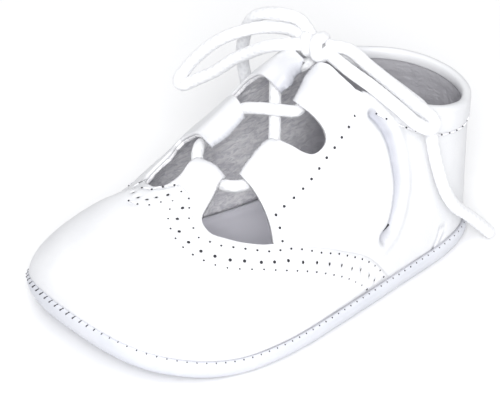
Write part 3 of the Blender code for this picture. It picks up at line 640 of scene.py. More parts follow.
# Near-black: painted shade in the needle holes and under the perforations, and the colour of the sole ticks
# and the bar tack
HOLE = plain_detail("needle_hole", (0.02, 0.02, 0.025), (0.05, 0.05, 0.06), 0.9, 3000.0)
SEAM_DARK = plain_detail("seam_shadow", (0.42, 0.42, 0.46), (0.55, 0.55, 0.59), 0.9, 2500.0)


# Meshes on the last

def new_object(name, verts, faces, look):
    """A smooth mesh from vertices in millimetres."""
    mesh = bpy.data.meshes.new(name)
    v = (np.asarray(verts, float) + PLACE) * MM
    mesh.from_pydata([tuple(p) for p in v.tolist()], [], [tuple(int(i) for i in f) for f in faces])
    obj = bpy.data.objects.new(name, mesh)
    bpy.context.scene.collection.objects.link(obj)
    mesh.materials.append(look)
    mesh.polygons.foreach_set("use_smooth", [True] * len(mesh.polygons))
    mesh.update()
    return obj


def paint_shade(obj, values):
    """Paints shade into the outer layer of a sheet, one value for each of its points."""
    paint = obj.data.attributes.new("painted_shade", "FLOAT", "POINT")
    full = np.zeros(len(obj.data.vertices), np.float32)
    full[:len(values)] = values
    paint.data.foreach_set("value", full)


def turned_out(obj):
    bm = bmesh.new()
    bm.from_mesh(obj.data)
    bmesh.ops.recalc_face_normals(bm, faces=bm.faces)
    bm.to_mesh(obj.data)
    bm.free()
    return obj


def vertex_normals(verts, tris):
    a, b, c = verts[tris[:, 0]], verts[tris[:, 1]], verts[tris[:, 2]]
    n = np.cross(b - a, c - a)
    out = np.zeros_like(verts)
    for k in range(3):
        for axis in range(3):
            out[:, axis] += np.bincount(tris[:, k], n[:, axis], len(verts))
    return unit(out)


def in_chunks(function, points, size=2500):
    p = np.asarray(points, float).reshape(-1, 2)
    return np.concatenate([function(p[i:i + size]) for i in range(0, len(p), size)])


def on_last(points):
    return in_chunks(on_surface, points)


def near_distance(points, line):
    """Distance of many points from a densely sampled line."""
    line = np.asarray(line, float)
    tree = kdtree.KDTree(len(line))
    for i, p in enumerate(line):
        tree.insert(p if len(p) == 3 else (p[0], p[1], 0.0), i)
    tree.balance()
    pts = np.asarray(points, float)
    if pts.shape[1] == 2:
        pts = np.hstack([pts, np.zeros((len(pts), 1))])
    return np.array([tree.find(p)[2] for p in pts])


def closed(loop):
    return np.vstack([loop, loop[:1]])


def dense(points, step):
    """Straight runs between points, sampled finely."""
    p = np.asarray(points, float)
    out = []
    for a, b in zip(p[:-1], p[1:]):
        n = max(1, int(np.linalg.norm(b - a) / step))
        out += [a + (b - a) * i / n for i in range(n)]
    out.append(p[-1])
    return np.array(out)


def curve_through(points, step):
    return np.array(rounded([(p[0], p[1], 0) for p in points], step))


def between_loops(points, loops):
    """Which points lie in the first loop and in none of the others."""
    keep = in_chunks(lambda q: inside(q, loops[0]), points)
    for hole in loops[1:]:
        box = (points > hole.min(0)).all(1) & (points < hole.max(0)).all(1)
        keep[box] &= ~inside(points[box], hole)
    return keep


def flat_mesh(loops, step):
    """Triangles between loops on the flat plane, and the flat points."""
    border = np.vstack([dense(closed(loop), step * 0.5) for loop in loops])
    low, high = loops[0].min(0), loops[0].max(0)
    xs = np.arange(low[0], high[0], step)
    ts = np.arange(low[1], high[1], step * 0.866)
    grid = np.array([(x + 0.5 * step * (j % 2), t) for j, t in enumerate(ts) for x in xs])
    grid = grid[between_loops(grid, loops)]
    grid = grid[near_distance(grid, border) > step * 0.55]
    verts, edges = [], []
    for loop in loops:
        start, n = len(verts), len(loop)
        verts += loop.tolist()
        edges += [(start + i, start + (i + 1) % n) for i in range(n)]
    out = delaunay_2d_cdt([Vector(v) for v in verts + grid.tolist()], edges, [], 0, 1e-6)
    xy = np.array([(v.x, v.y) for v in out[0]])
    tris = np.array([list(f) for f in out[2]])
    return xy, tris[between_loops(xy[tris].mean(1), loops)]


def border_edges(tris):
    e = np.vstack([tris[:, [0, 1]], tris[:, [1, 2]], tris[:, [2, 0]]])
    key = e[:, 0].astype(np.int64) * 10000000 + e[:, 1]
    back_key = e[:, 1].astype(np.int64) * 10000000 + e[:, 0]
    return e[~np.isin(key, back_key)]


def outward(base, tris):
    """Normals that point out of the shoe."""
    n = vertex_normals(base, tris)
    if ((base - MIDDLE) * n).sum() < 0:
        return -n, tris[:, ::-1]
    return n, tris


def laid_on_last(loops, step):
    """A mesh between loops: its flat points, its places on the last, their normals and its triangles."""
    xy, tris = flat_mesh(loops, step)
    base = on_last(xy)
    return (xy, base, *outward(base, tris))


def two_layers(name, outer, inner, tris, look, bead):
    """A closed sheet from an outer and an inner layer. The middle of its edge stands out by the bead."""
    n = len(outer)
    rim = border_edges(tris)
    ids = np.unique(rim)
    where = {int(v): k for k, v in enumerate(ids)}
    step = np.zeros((len(ids), 3))
    for a, b in rim:
        push = unit(np.cross(outer[b] - outer[a], outer[a] - inner[a]))
        step[where[int(a)]] += push
        step[where[int(b)]] += push
    verts = np.vstack([outer, inner, (outer[ids] + inner[ids]) / 2 + unit(step) * bead])
    faces = tris.tolist()
    faces += [(c + n, b + n, a + n) for a, b, c in tris.tolist()]
    for a, b in rim.tolist():
        ma, mb = 2 * n + where[a], 2 * n + where[b]
        faces += [(b, a, ma, mb), (mb, ma, a + n, b + n)]
    return new_object(name, verts, faces, look)


def circle_at(centre, across, up, radius, sides):
    """Points of a ring in space."""
    a = np.arange(sides) * 2 * math.pi / sides
    return list(centre + (np.outer(np.cos(a), across) + np.outer(np.sin(a), up)) * radius)


def tube_faces(start, rings, sides, closed=False):
    """Quads between neighbouring rings."""
    out = []
    for k in range(rings if closed else rings - 1):
        low, high = start + k * sides, start + (k + 1) % rings * sides
        for j in range(sides):
            j2 = (j + 1) % sides
            out.append((low + j, low + j2, high + j2, high + j))
    return out


def tube_ends(start, rings, sides):
    last = start + (rings - 1) * sides
    return [tuple(reversed(range(start, start + sides))), tuple(range(last, last + sides))]


def finish_piece(obj, slot, *nodes):
    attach(obj, "root")
    if nodes:
        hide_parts(*nodes)
    return obj


# Seams, creases and holes, on the flat plane as x and station
PERFORATIONS = [
    (-6.8, 79.7), (-4.7, 80.2), (-2.9, 79.6), (-2.1, 77.9), (-1.1, 75.9), (2.2, 75.7), (3.1, 77.8),
    (4.8, 79.0), (6.8, 78.8), (8.75, 77.9), (10.4, 76.3), (12.05, 74.3), (13.4, 72.0), (15.0, 69.1),
    (16.1, 66.5), (17.1, 63.5), (18.4, 60.3), (19.4, 56.9), (20.3, 53.7), (21.05, 50.4), (21.8, 47.5),
    (22.2, 44.9), (22.9, 42.3), (23.4, 40.6),
]
WING_UPPER_ROW = [
    (-6.7, 77.9), (-5.1, 77.6), (-4.0, 76.7), (-3.25, 75.6), (-2.4, 74.6), (-1.5, 73.5), (-0.3, 73.7),
    (1.0, 73.8), (2.25, 73.7), (3.0, 75.05), (3.8, 75.9), (4.8, 76.45), (6.1, 76.7), (7.05, 76.9),
    (8.1, 75.9), (9.3, 75.0), (11.2, 72.3), (13.1, 69.3), (14.8, 66.1), (16.1, 62.0), (17.5, 58.4),
    (18.85, 54.7), (19.7, 51.1), (20.6, 47.55), (21.3, 44.0), (21.9, 41.0), (22.45, 38.9), (23.1, 37.6),
]
WING_LOWER_ROW = [
    (-5.5, 81.5), (-3.7, 81.35), (-1.95, 80.6), (-1.4, 79.8), (-0.95, 78.5), (-0.2, 77.1), (0.5, 76.0),
    (1.0, 77.3), (1.75, 78.5), (2.6, 79.4), (3.8, 79.95), (5.6, 80.3), (7.7, 79.9), (9.9, 78.5),
    (12.1, 76.3), (14.05, 73.2), (15.6, 70.05), (17.4, 66.15), (19.1, 61.6), (21.1, 55.05), (22.2, 50.7),
    (23.1, 47.2), (23.7, 44.9), (24.2, 43.2),
]
FACING_ROW = [
    (6.6, 35.2), (8.2, 37.8), (9.9, 40.8), (10.9, 44.4), (11.2, 47.9), (11.6, 51.9), (11.7, 55.8),
    (11.6, 59.6), (11.4, 61.6), (12.5, 62.0), (14.7, 62.95),
]
BAND_ROW = [
    (6.9, 32.8), (6.8, 29.2), (6.9, 24.0), (7.3, 19.9), (6.6, 16.6), (3.9, 14.6), (0.0, 13.8),
]
ANKLE_CREASE = [
    (7.2, 33.5), (8.2, 31.7), (9.5, 30.95), (11.6, 30.8), (13.7, 30.9), (15.3, 31.65), (17.1, 32.95),
    (18.5, 34.6), (19.5, 36.9),
]
# Turned edges over the lace: flat points, radius of the turn, then drop and reach of the slope before it
FOLDS = [
    ([(2.8, 65.5), (0.1, 65.5), (-2.8, 66.1)], 1.1, 0.5, 3.5),
    ([(4.9, 54.0), (4.0, 55.1), (3.6, 57.1), (3.6, 60.2), (4.0, 63.6)], 1.1, 0.5, 4.0),
    ([(0.1, 39.2), (0.9, 40.9), (2.4, 43.8), (3.2, 47.6)], 1.2, 0.5, 4.0),
    ([(-2.8, 63.3), (-2.1, 59.5), (-1.9, 55.3)], 1.5, 1.1, 5.0),
    ([(0.7, 48.2), (1.2, 45.6), (0.2, 41.9)], 1.6, 1.3, 6.0),
]
HEEL_PLEATS = [
    [(17.86, 16.55), (18.15, 18.1), (19.04, 18.4), (19.86, 19.2), (20.6, 20.0)],
    [(18.77, 16.25), (19.94, 17.65)],
]
BAR_TACK = ((18.9, 36.2), (18.3, 34.3))
# Strength of the painted shade at the turned folds, in the ankle crease, in the heel pleats and on the wing
# along the toe seam
FOLD_PAINTED_SHADE = (0.22, 0.22, 0.22, 0.48, 0.68)
CREASE_PAINTED_SHADE = 0.80
PLEAT_PAINTED_SHADE = 0.45
TOE_PAINTED_SHADE = 0.16
CREASE_DEPTH = 1.5
CREASE_SWELL = 0.6
PLEAT_DEPTH = 0.4
ROW_DEPTH = 0.16
WING_ROW_DEPTH = 0.17
BAND_ROW_DEPTH = 0.15
LINE_STEP = 0.4
HOLE_RADIUS = 0.42
# Behind this x the far side shows its holes and stitches
FAR_ROWS_END = -15.5


def other_side(points):
    """The same rows on the far side of the foot."""
    side_of, arc, g = locate(points)
    far_arc = arc * HALVES[1][0][-1] / HALVES[0][0][-1]
    return flat(1, far_arc, g)


def soft_step(x):
    x = np.clip(x, 0, 1)
    return x * x * (3 - 2 * x)


def relief(base):
    """Height of the outer leather over the last, in millimetres."""
    out = np.zeros(len(base))
    for line, radius, drop, reach in FOLDS:
        d = fold_distance(base, line)
        u = np.clip(1 - d / radius, 0, 1)
        out -= radius * (1 - np.sqrt(np.clip(1 - u ** 2, 0, 1)))
        out -= drop * np.clip(1 - d / reach, 0, 1) ** 2
        out += 0.5 * np.exp(-((d - reach) / (0.45 * reach)) ** 2)
    d = near_distance(base, lift(curve_through(ANKLE_CREASE, LINE_STEP)))
    out += CREASE_SWELL * np.exp(-((d - 2.4) / 1.3) ** 2) - CREASE_DEPTH * np.exp(-(d / 0.95) ** 2)
    for pleat in HEEL_PLEATS:
        out -= PLEAT_DEPTH * trough(base, dense(pleat, 0.2), 0.35)
    for line in (*both_sides(FACING_ROW), *both_sides(BAND_ROW)):
        out -= ROW_DEPTH * trough(base, line, 0.55)
    return out


def both_sides(row):
    """A row as a smooth line, and the same line on the far side."""
    line = curve_through(row, LINE_STEP)
    return line, other_side(line)


def trough(base, line, width):
    """How near the surface is to a line of the flat plane: 1 on it, falling off over the width."""
    return np.exp(-(near_distance(base, lift(line)) / width) ** 2)


def fold_distance(base, line):
    return near_distance(base, dense(lift(dense(line, 0.5)), 0.2))


def uneven(points, wave, seed):
    """Slow unevenness, from -1 to 1."""
    return np.array([noise.noise(Vector(p) / wave + Vector((seed, seed * 1.7, 0.3))) for p in points])


def soft_uneven(points):
    return 0.07 * uneven(points, 9.0, 3.0) + 0.03 * uneven(points, 3.0, 8.0)


def wrinkles(points):
    """Long shallow wrinkles that run along the shoe."""
    out = []
    for p in points:
        q = Vector((p[0] / 3.2, p[1] / 7.5, p[2] / 1.5))
        bend = noise.noise(Vector(p) / 6.0)
        out.append(1 - 2 * abs(noise.noise(q + Vector((bend * 1.2, bend, bend * 1.6)))))
    return np.array(out)


def build_upper_pieces():
    _, base, normal, tris = laid_on_last([seam_loop(0.45), throat_loop(0.3)], MESH_STEP)
    height = relief(base) + soft_uneven(base)
    outer = base + normal * height[:, None]
    bent = vertex_normals(outer, tris)
    skin_inner = outer - bent * SKIN
    shell = two_layers("upper_leather", outer, skin_inner, tris, WHITE, 0.12)
    # Painted shade in the ankle crease, sloping into the turned folds and in the heel pleats
    painted_shade = CREASE_PAINTED_SHADE * trough(base, curve_through(ANKLE_CREASE, LINE_STEP), 1.3)
    for (line, radius, drop, reach), strength in zip(FOLDS, FOLD_PAINTED_SHADE):
        d = fold_distance(base, line)
        painted_shade = np.maximum(painted_shade, strength * np.clip(1 - d / reach, 0, 1) ** 1.3)
    for pleat in HEEL_PLEATS:
        painted_shade = np.maximum(painted_shade, PLEAT_PAINTED_SHADE * trough(base, dense(pleat, 0.2), 0.4))
    paint_shade(shell, np.clip(painted_shade, 0, 1))
    finish_piece(shell, "white_leather", "upper")
    inner = outer - bent * (WALL + 0.16 * wrinkles(outer))[:, None]
    # the lining starts just under the leather and ends a little inside its edge
    lining = two_layers("lining", outer - bent * (SKIN + 0.02), inner, tris, LINING, -0.1)
    finish_piece(lining, "grey_insole")


def stretched_circle(centre, radius, sides):
    """A round hole in space, drawn on the flat plane where the leather is steep."""
    c = np.asarray(centre, float)
    here = lift([c], 0)[0]
    dx = (lift([c + (0.3, 0)], 0)[0] - here) / 0.3
    dt = (lift([c + (0, 0.3)], 0)[0] - here) / 0.3
    a = np.arange(sides) * 2 * math.pi / sides
    gram = np.array([[dx.dot(dx), dx.dot(dt)], [dx.dot(dt), dt.dot(dt)]])
    values, vectors = np.linalg.eigh(gram)
    shape = vectors @ np.diag(values ** -0.5) @ vectors.T
    ring = np.stack([np.cos(a), np.sin(a)], -1) * radius
    return c + ring @ shape


# How much of the near edge, in millimetres, the far edge leaves out at the throat, and its way round there
FAR_WING_START = 6.0
FAR_WING_FRONT = 76.6
WING_HEM = 0.015
WING_BRIDGE = [(-11.7, 76.9), (-9.6, 77.1), (-7.6, 77.2), (-5.6, 77.3)]


def wing_loop(step):
    near = rounded(WING_EDGE, step)
    far = list(other_side(near[int(FAR_WING_START / step):]))
    end_near = locate([near[-1]])[1][0]
    end_far = locate([far[-1]])[1][0]
    near_total, far_total = HALVES[0][0][-1], HALVES[1][0][-1]
    a = np.linspace(end_near, near_total, int((near_total - end_near) / step))
    b = np.linspace(far_total, end_far, int((far_total - end_far) / step))[1:]
    hem = [*flat(0, a, np.full(len(a), WING_HEM)), *flat(1, b, np.full(len(b), WING_HEM))]
    front = [p for p in far[::-1] if p[1] < FAR_WING_FRONT]
    return np.array(hem[1:-1] + front + WING_BRIDGE + near)


def build_wing():
    holes = [stretched_circle(p, HOLE_RADIUS, 12) for p in PERFORATIONS]
    far = [tuple(p) for p in other_side(PERFORATIONS[6:]) if p[0] < FAR_ROWS_END]
    holes += [stretched_circle(p, HOLE_RADIUS, 12) for p in far]
    loop = wing_loop(0.4)
    xy, base, normal, tris = laid_on_last([loop] + holes, 0.42)
    edge = near_distance(xy, dense(closed(loop), 0.2))
    height = OVERLAY + soft_uneven(base)
    height -= 0.22 * np.clip(1 - edge / 0.5, 0, 1) ** 2
    for line in (*both_sides(WING_UPPER_ROW), *both_sides(WING_LOWER_ROW)):
        height -= WING_ROW_DEPTH * trough(base, line, 0.5)
    pits = near_distance(xy, np.vstack(holes))
    height -= 0.10 * np.exp(-(pits / 0.35) ** 2)
    outer = base + normal * height[:, None]
    inner = base + normal * 0.02
    wing = two_layers("vamp_wing_leather", outer, inner, tris, WING_WHITE, 0.08)
    # Painted shade on the wing just above the seam round the toe
    low = base[:, 2] - seam(LENGTH / 2 - base[:, 1])
    toe = soft_step((-base[:, 1] - 5) / 30)
    paint_shade(wing, TOE_PAINTED_SHADE * toe * np.exp(-(low / 3.0) ** 2))
    finish_piece(wing, "white_overlay_leather", "vamp_wing")
    # Near-black discs under the perforations: painted shade at the bottom of the holes
    floor_discs("perforation_painted_shade", PERFORATIONS + far, HOLE_RADIUS + 0.1, 0.10, HOLE)


def floor_discs(name, points, radius, offset, look, sides=10):
    """Small discs that lie on the last."""
    verts, faces = [], []
    for p in points:
        ring = lift(stretched_circle(p, radius, sides), offset)
        top = lift([p], offset + 0.05)[0]
        start = len(verts)
        verts += list(ring) + [top]
        faces += [(start + i, start + (i + 1) % sides, start + sides) for i in range(sides)]
        faces.append(tuple(reversed(range(start, start + sides))))
    obj = turned_out(new_object(name, verts, faces, look))
    return finish_piece(obj, "grey_insole")


def row_points(row, pitch):
    """Needle places at an even pitch along a row, measured in space."""
    line = curve_through(row, 0.25)
    s = distances(lift(line))
    n = max(2, int(round(s[-1] / pitch)))
    want = np.linspace(0, s[-1], n + 1)
    return np.stack([np.interp(want, s, line[:, k]) for k in (0, 1)], -1)


# Share of the way, rise and size of the rings of one thread run
THREAD_RINGS = ((0.10, -0.12, 0.6), (0.22, 0.04, 1.0), (0.5, 0.10, 1.05), (0.78, 0.04, 1.0),
                (0.90, -0.12, 0.6))
THREAD_RADIUS = 0.2
THREAD_SIDES = 6
HOLE_SIDES = 8


def stitch_geometry(rows, pitch, offset, hole_radius):
    """Thread runs between needle holes, and near-black discs at the holes as painted shade, as two meshes."""
    tv, tf, hv, hf = [], [], [], []
    for row in rows:
        at = row_points(row, pitch)
        ground = lift(at, offset)
        up = lift(at, offset + 1.0) - ground
        for i in range(len(at) - 1):
            d = ground[i + 1] - ground[i]
            along = unit(d)
            n = up[i] + up[i + 1]
            n = unit(n - along * n.dot(along))
            start = len(tv)
            for share, rise, size in THREAD_RINGS:
                c = ground[i] + d * share + n * rise
                tv += circle_at(c, np.cross(along, n), n * 0.8, THREAD_RADIUS * size, THREAD_SIDES)
            tf += tube_faces(start, len(THREAD_RINGS), THREAD_SIDES)
            tf += tube_ends(start, len(THREAD_RINGS), THREAD_SIDES)
        # near-black discs at the needle holes: painted shade
        for g, n in zip(ground, up):
            n = unit(n)
            w = unit(np.cross(n, (0.3, 0.8, 0.1)))
            start = len(hv)
            for size, rise in ((1.0, -0.10), (0.8, 0.03)):
                hv += circle_at(g + n * rise, w, np.cross(n, w), hole_radius * size, HOLE_SIDES)
            hf += tube_faces(start, 2, HOLE_SIDES) + tube_ends(start, 2, HOLE_SIDES)
    return tv, tf, hv, hf


def build_stitches():
    on_wing = [WING_UPPER_ROW, WING_LOWER_ROW]
    on_wing += [[p for p in other_side(r) if p[0] < FAR_ROWS_END] for r in on_wing]
    on_skin = [FACING_ROW, other_side(FACING_ROW)]
    on_band = [BAND_ROW, other_side(BAND_ROW)]
    for name, rows, pitch, offset, hole in (("wing_stitching", on_wing, 2.5, OVERLAY - 0.1, 0.25),
                                            ("facing_stitching", on_skin, 2.9, -0.1, 0.36),
                                            ("band_stitching", on_band, 2.6, 0.3, 0.22)):
        tv, tf, hv, hf = stitch_geometry(rows, pitch, offset, hole)
        finish_piece(turned_out(new_object(name, tv, tf, THREAD)), "white_lace")
        finish_piece(turned_out(new_object(name + "_holes", hv, hf, HOLE)), "grey_insole")


BAND_FRONT = 32.6
BAND_LIFT = 0.42
# How far below the collar edge the band starts, as a share of the section
BAND_TOP = 0.012


def build_band():
    near_low = rounded(BAND_EDGE, 0.5)
    far_low = [np.array((-p[0], p[1])) for p in near_low[1:]]
    top = [collar_points(side, 0.6) for side in (0, 1)]
    near_top, far_top = ([p for p in points if p[1] < BAND_FRONT] for points in top)
    shrink = []
    for p in near_top[::-1] + far_top[1:]:
        side_of, arc, g = locate([p])
        moved = np.where(side_of[:, None] == 0, flat(0, arc, g - BAND_TOP), flat(1, arc, g - BAND_TOP))
        shrink.append(moved[0])
    loop = np.array(near_low + shrink + far_low[::-1])
    xy, base, normal, tris = laid_on_last([loop], 0.45)
    edge = near_distance(xy, dense(closed(loop), 0.2))
    height = BAND_LIFT + 0.07 * uneven(base, 9.0, 3.0) - 0.2 * np.clip(1 - edge / 0.45, 0, 1) ** 2
    for line in both_sides(BAND_ROW):
        height -= BAND_ROW_DEPTH * trough(base, line, 0.5)
    outer = base + normal * height[:, None]
    band = two_layers("collar_band_leather", outer, base + normal * -0.05, tris, WHITE, 0.06)
    finish_piece(band, "white_overlay_leather", "collar_band")


# Out of the wall and down, from the outer foot over the top to the inner foot
BINDING_PROFILE = [
    (0.25, 2.2), (0.42, 1.8), (0.46, 0.8), (0.36, 0.05), (0.0, -0.35), (-0.6, -0.48), (-1.2, -0.35),
    (-1.58, 0.1), (-1.64, 0.9), (-1.6, 1.7), (-1.5, 2.0), (-1.2, 2.0), (-1.0, 1.2), (-0.65, 0.6),
    (-0.3, 1.2), (0.0, 2.1),
]


def build_binding():
    """Soft white binding folded over the collar edge, from facing to facing round the heel."""
    line = np.array(collar_points(0, 0.6)[::-1] + collar_points(1, 0.6)[1:])
    top = lift(line)
    out = lift(line, 1.0) - top
    tangent = unit(np.gradient(top, axis=0))
    out = unit(out - tangent * (out * tangent).sum(1, keepdims=True))
    down = np.cross(tangent, out)
    down *= np.where(down[:, 2] > 0, -1, 1)[:, None]
    verts = []
    for p, o, d, w in zip(top, out, down, uneven(top, 4.0, 5.0)):
        for a, b in BINDING_PROFILE:
            verts.append(p + o * (a + 0.06 * w) + d * (b * (1 + 0.06 * w)))
    sides = len(BINDING_PROFILE)
    faces = tube_faces(0, len(top), sides) + tube_ends(0, len(top), sides)
    finish_piece(turned_out(new_object("collar_binding", verts, faces, WHITE)), "white_leather")


# Sole and insole

def offset_outline(inset, spacing=0.7):
    q = seam_loop(spacing)
    tangent = unit(np.roll(q, -1, 0) - np.roll(q, 1, 0))
    normal = np.stack([tangent[:, 1], -tangent[:, 0]], -1)
    centre = q.mean(0)
    normal *= np.where(((q - centre) * normal).sum(1) < 0, -1, 1)[:, None]
    for _ in range(6):
        normal = (np.roll(normal, 1, 0) + normal * 2 + np.roll(normal, -1, 0)) / 4
    return q - unit(normal) * inset


def ring_stack(name, rings, look, wave, cap_step):
    """Closed body from rings, each an inset from the seam outline and a height for each station."""
    loops = []
    for inset, height in rings:
        q = offset_outline(inset)
        loops.append(np.stack([q[:, 0], LENGTH / 2 - q[:, 1], height(q[:, 1])], -1))
    n = len(loops[0])
    for ring in loops[2:-3]:
        d = ring - ring.mean(0)
        d[:, 2] = 0
        ring += unit(d) * (uneven(ring, 5.0, 2.0) * wave)[:, None]
    verts = [p for ring in loops for p in ring]
    faces = tube_faces(0, len(loops), n)
    for ring, flip in ((0, True), (len(loops) - 1, False)):
        inset, height = rings[ring]
        q = offset_outline(inset)
        xy, tris = flat_mesh([q], cap_step)
        index = []
        for v in xy:
            d = np.linalg.norm(q - v, axis=1)
            i = int(d.argmin())
            if d[i] < 1e-4:
                index.append(ring * n + i)
            else:
                index.append(len(verts))
                verts.append((v[0], LENGTH / 2 - v[1], float(height(np.array(v[1])))))
        for t in tris:
            f = [index[i] for i in t]
            faces.append(tuple(reversed(f)) if flip else tuple(f))
    return turned_out(new_object(name, verts, faces, look))


def ground(rise):
    return lambda t: rise + spring(t) * 0.93


def below_seam(drop):
    return lambda t: seam(t) - drop


def between(share, drop):
    """Height between the ground line and the seam line."""
    return lambda t: ground(0.0)(t) * (1 - share) + below_seam(drop)(t) * share


def build_sole():
    rings = [
        (3.2, ground(0.0)), (2.4, ground(0.0)), (1.7, ground(0.06)), (1.0, ground(0.26)), (0.4, ground(0.62)),
        (-0.1, ground(1.05)), (-0.45, ground(1.55)), (-0.72, ground(2.1)), (-0.88, ground(2.7)),
        (-0.95, between(0.78, 0.0)), (-0.93, between(0.90, 0.05)), (-0.80, between(0.98, 0.05)),
        (-0.55, between(1.0, -0.12)), (-0.2, between(1.0, -0.18)), (0.15, between(1.0, 0.0)),
        (0.5, below_seam(0.5)), (1.4, below_seam(0.8)), (SOLE_RIM, below_seam(1.6)),
        (2.8, ground(SOLE_THICK)),
    ]
    body = ring_stack("sole_leather_body", rings, SOLE_WHITE, 0.10, 2.5)
    finish_piece(body, "white_sole_leather", "sole")


def build_insole():
    low = SOLE_THICK + 0.05
    rings = [
        (3.6, ground(low)), (3.1, ground(low + 0.3)), (2.6, below_seam(1.35)), (1.95, below_seam(0.85)),
        (1.5, below_seam(0.5)), (1.4, below_seam(0.25)), (1.6, below_seam(0.1)), (2.1, below_seam(0.4)),
        (2.8, below_seam(0.95)), (3.6, ground(low + INSOLE + 0.4)), (5.0, ground(low + INSOLE + 0.2)),
    ]
    finish_piece(ring_stack("insole_sheet", rings, INSOLE_GREY, 0.0, 1.8), "grey_insole", "insole")


TICK_PITCH = 2.05
TICK_RADIUS = 0.15
TACK_RADIUS = 0.3
SEAM_LINE_RADIUS = 0.11


def build_sole_seam():
    """A dark tube in the groove as painted shadow, and needle ticks along it that are long and slanted round
    the outer toe.
    """
    verts, faces = [], []
    line = offset_outline(-0.30, 0.6)
    path = np.stack([line[:, 0], LENGTH / 2 - line[:, 1], seam(line[:, 1]) + 0.16], -1)
    closed_tube(path, SEAM_LINE_RADIUS, 6, verts, faces)
    finish_piece(turned_out(new_object("sole_seam_line", verts, faces, SEAM_DARK)), "grey_insole")
    verts, faces = [], []
    q = offset_outline(-0.62, 0.25)
    wide = offset_outline(-1.02, 0.25)
    s = distances(q)
    for want in np.arange(0.6, s[-1] - 0.5, TICK_PITCH):
        x, t = np.interp(want, s, q[:, 0]), np.interp(want, s, q[:, 1])
        toe = float(soft_step((14 - x) / 16) * soft_step((t - 78) / 14))
        a = np.array((x, LENGTH / 2 - t, seam(t) + 0.05))
        slant = want + 0.15 + 0.6 * toe
        far_x, far_t = np.interp(slant, s, wide[:, 0]), np.interp(slant, s, wide[:, 1])
        low_end = np.array((far_x, LENGTH / 2 - far_t, seam(far_t) - 0.80))
        b = a + (low_end - a) * (0.2 + 0.8 * toe)
        capsule(a, b, TICK_RADIUS, verts, faces)
    tack = lift(BAR_TACK, -0.75)
    capsule(*tack, TACK_RADIUS, verts, faces)
    finish_piece(turned_out(new_object("sole_seam_stitches", verts, faces, HOLE)), "grey_insole")


def closed_tube(path, radius, sides, verts, faces):
    tan = np.roll(path, -1, 0) - np.roll(path, 1, 0)
    faces += tube_faces(len(verts), len(path), sides, True)
    for c, t in zip(path, tan):
        t = unit(t)
        w = unit(np.cross(t, (0.0, 0.0, 1.0)))
        verts += circle_at(c, w, np.cross(w, t), radius, sides)


def capsule(a, b, radius, verts, faces, sides=6):
    d = unit(b - a)
    w = unit(np.cross(d, (0.31, 0.2, 0.93)))
    faces += tube_faces(len(verts), 4, sides) + tube_ends(len(verts), 4, sides)
    for c, size in ((a - d * radius * 0.6, 0.5), (a, 1.0), (b, 1.0), (b + d * radius * 0.6, 0.5)):
        verts += circle_at(c, w, np.cross(d, w), radius * size, sides)


# Laces

def frames(path):
    """Direction and two cross directions at each point of a path, with no twist."""
    tan = unit(np.gradient(path, axis=0))
    ref = (0.0, 0.0, 1.0) if abs(tan[0][2]) < 0.8 else (1.0, 0.0, 0.0)
    u = np.cross(ref, tan[0])
    out = []
    for t in tan:
        u = unit(u - t * u.dot(t))
        out.append((t, u, np.cross(t, u)))
    return out


def cord_tube(name, points, radius, sides=18, spacing=0.45):
    """Round-ended cord as a tube with UVs round it and along it."""
    path = smooth_path(points, spacing)
    fr = frames(path)
    s = distances(path)
    rings = [(c, f, 1.0, w) for c, f, w in zip(path, fr, s)]
    for a in (0.85, 0.6, 0.25):
        out, size = radius * math.cos(a * math.pi / 2) * 0.8, math.sin(a * math.pi / 2)
        rings.insert(0, (path[0] - fr[0][0] * out, fr[0], size, s[0] - radius * (1 - a)))
        rings.append((path[-1] + fr[-1][0] * out, fr[-1], size, s[-1] + radius * (1 - a)))
    verts = []
    for c, (t, u, v), size, w in rings:
        verts += circle_at(c, u, v, radius * size, sides)
    faces = tube_faces(0, len(rings), sides)
    turns = [w / (2 * math.pi * radius) for c, f, size, w in rings]
    uvs = []
    for low, high in zip(turns[:-1], turns[1:]):
        for j in range(sides):
            a, b = j / sides, (j + 1) / sides
            uvs.append([(a, low), (b, low), (b, high), (a, high)])
    faces += tube_ends(0, len(rings), sides)
    uvs.append([(j / sides, turns[0]) for j in reversed(range(sides))])
    uvs.append([(j / sides, turns[-1]) for j in range(sides)])
    obj = new_object(name, verts, faces, CORD)
    layer = obj.data.uv_layers.new(name="round_and_along")
    layer.data.foreach_set("uv", [c for face in uvs for pair in face for c in pair])
    return obj, path, s[-1]


TUNNEL_BORE = 1.36
TUNNEL_OUTER = 1.66
TUNNEL_LIP = 0.15
TUNNEL_SIDES = 28
# How far the far tunnels lie further out than their tabs
TUCK = {"lace_loop_far_1": -1.6, "lace_loop_far_2": -1.0}
# Middle of the lace on the flat plane with its depth under the leather, from the upper far tab to the top
LACE_PATH = [
    (-3.6, 43.6, -3.6), (-3.3, 46.4, -3.3), (-1.0, 48.4, -2.9), (1.8, 51.2, -2.9), (3.8, 53.5, -3.0),
    (5.2, 55.6, -3.1), (5.4, 59.2, -3.1), (5.6, 62.2, -2.9), (5.0, 64.5, -2.2), (3.8, 66.1, -2.2),
    (2.2, 67.0, -2.9), (0.2, 67.2, -3.0), (-1.9, 67.5, -2.3), (-3.5, 66.5, -1.5), (-5.0, 64.9, -1.5),
    (-6.4, 63.4, -2.2), (-7.4, 61.0, -3.0), (-6.6, 57.5, -3.1), (-5.5, 55.0, -2.6), (-3.0, 54.1, -1.4),
    (-0.6, 53.1, -0.7), (1.2, 51.8, -0.5), (3.0, 50.0, -0.9), (4.4, 48.0, -2.2), (4.3, 45.6, -3.3),
    (3.4, 43.2, -3.4), (2.4, 40.8, -3.2),
]


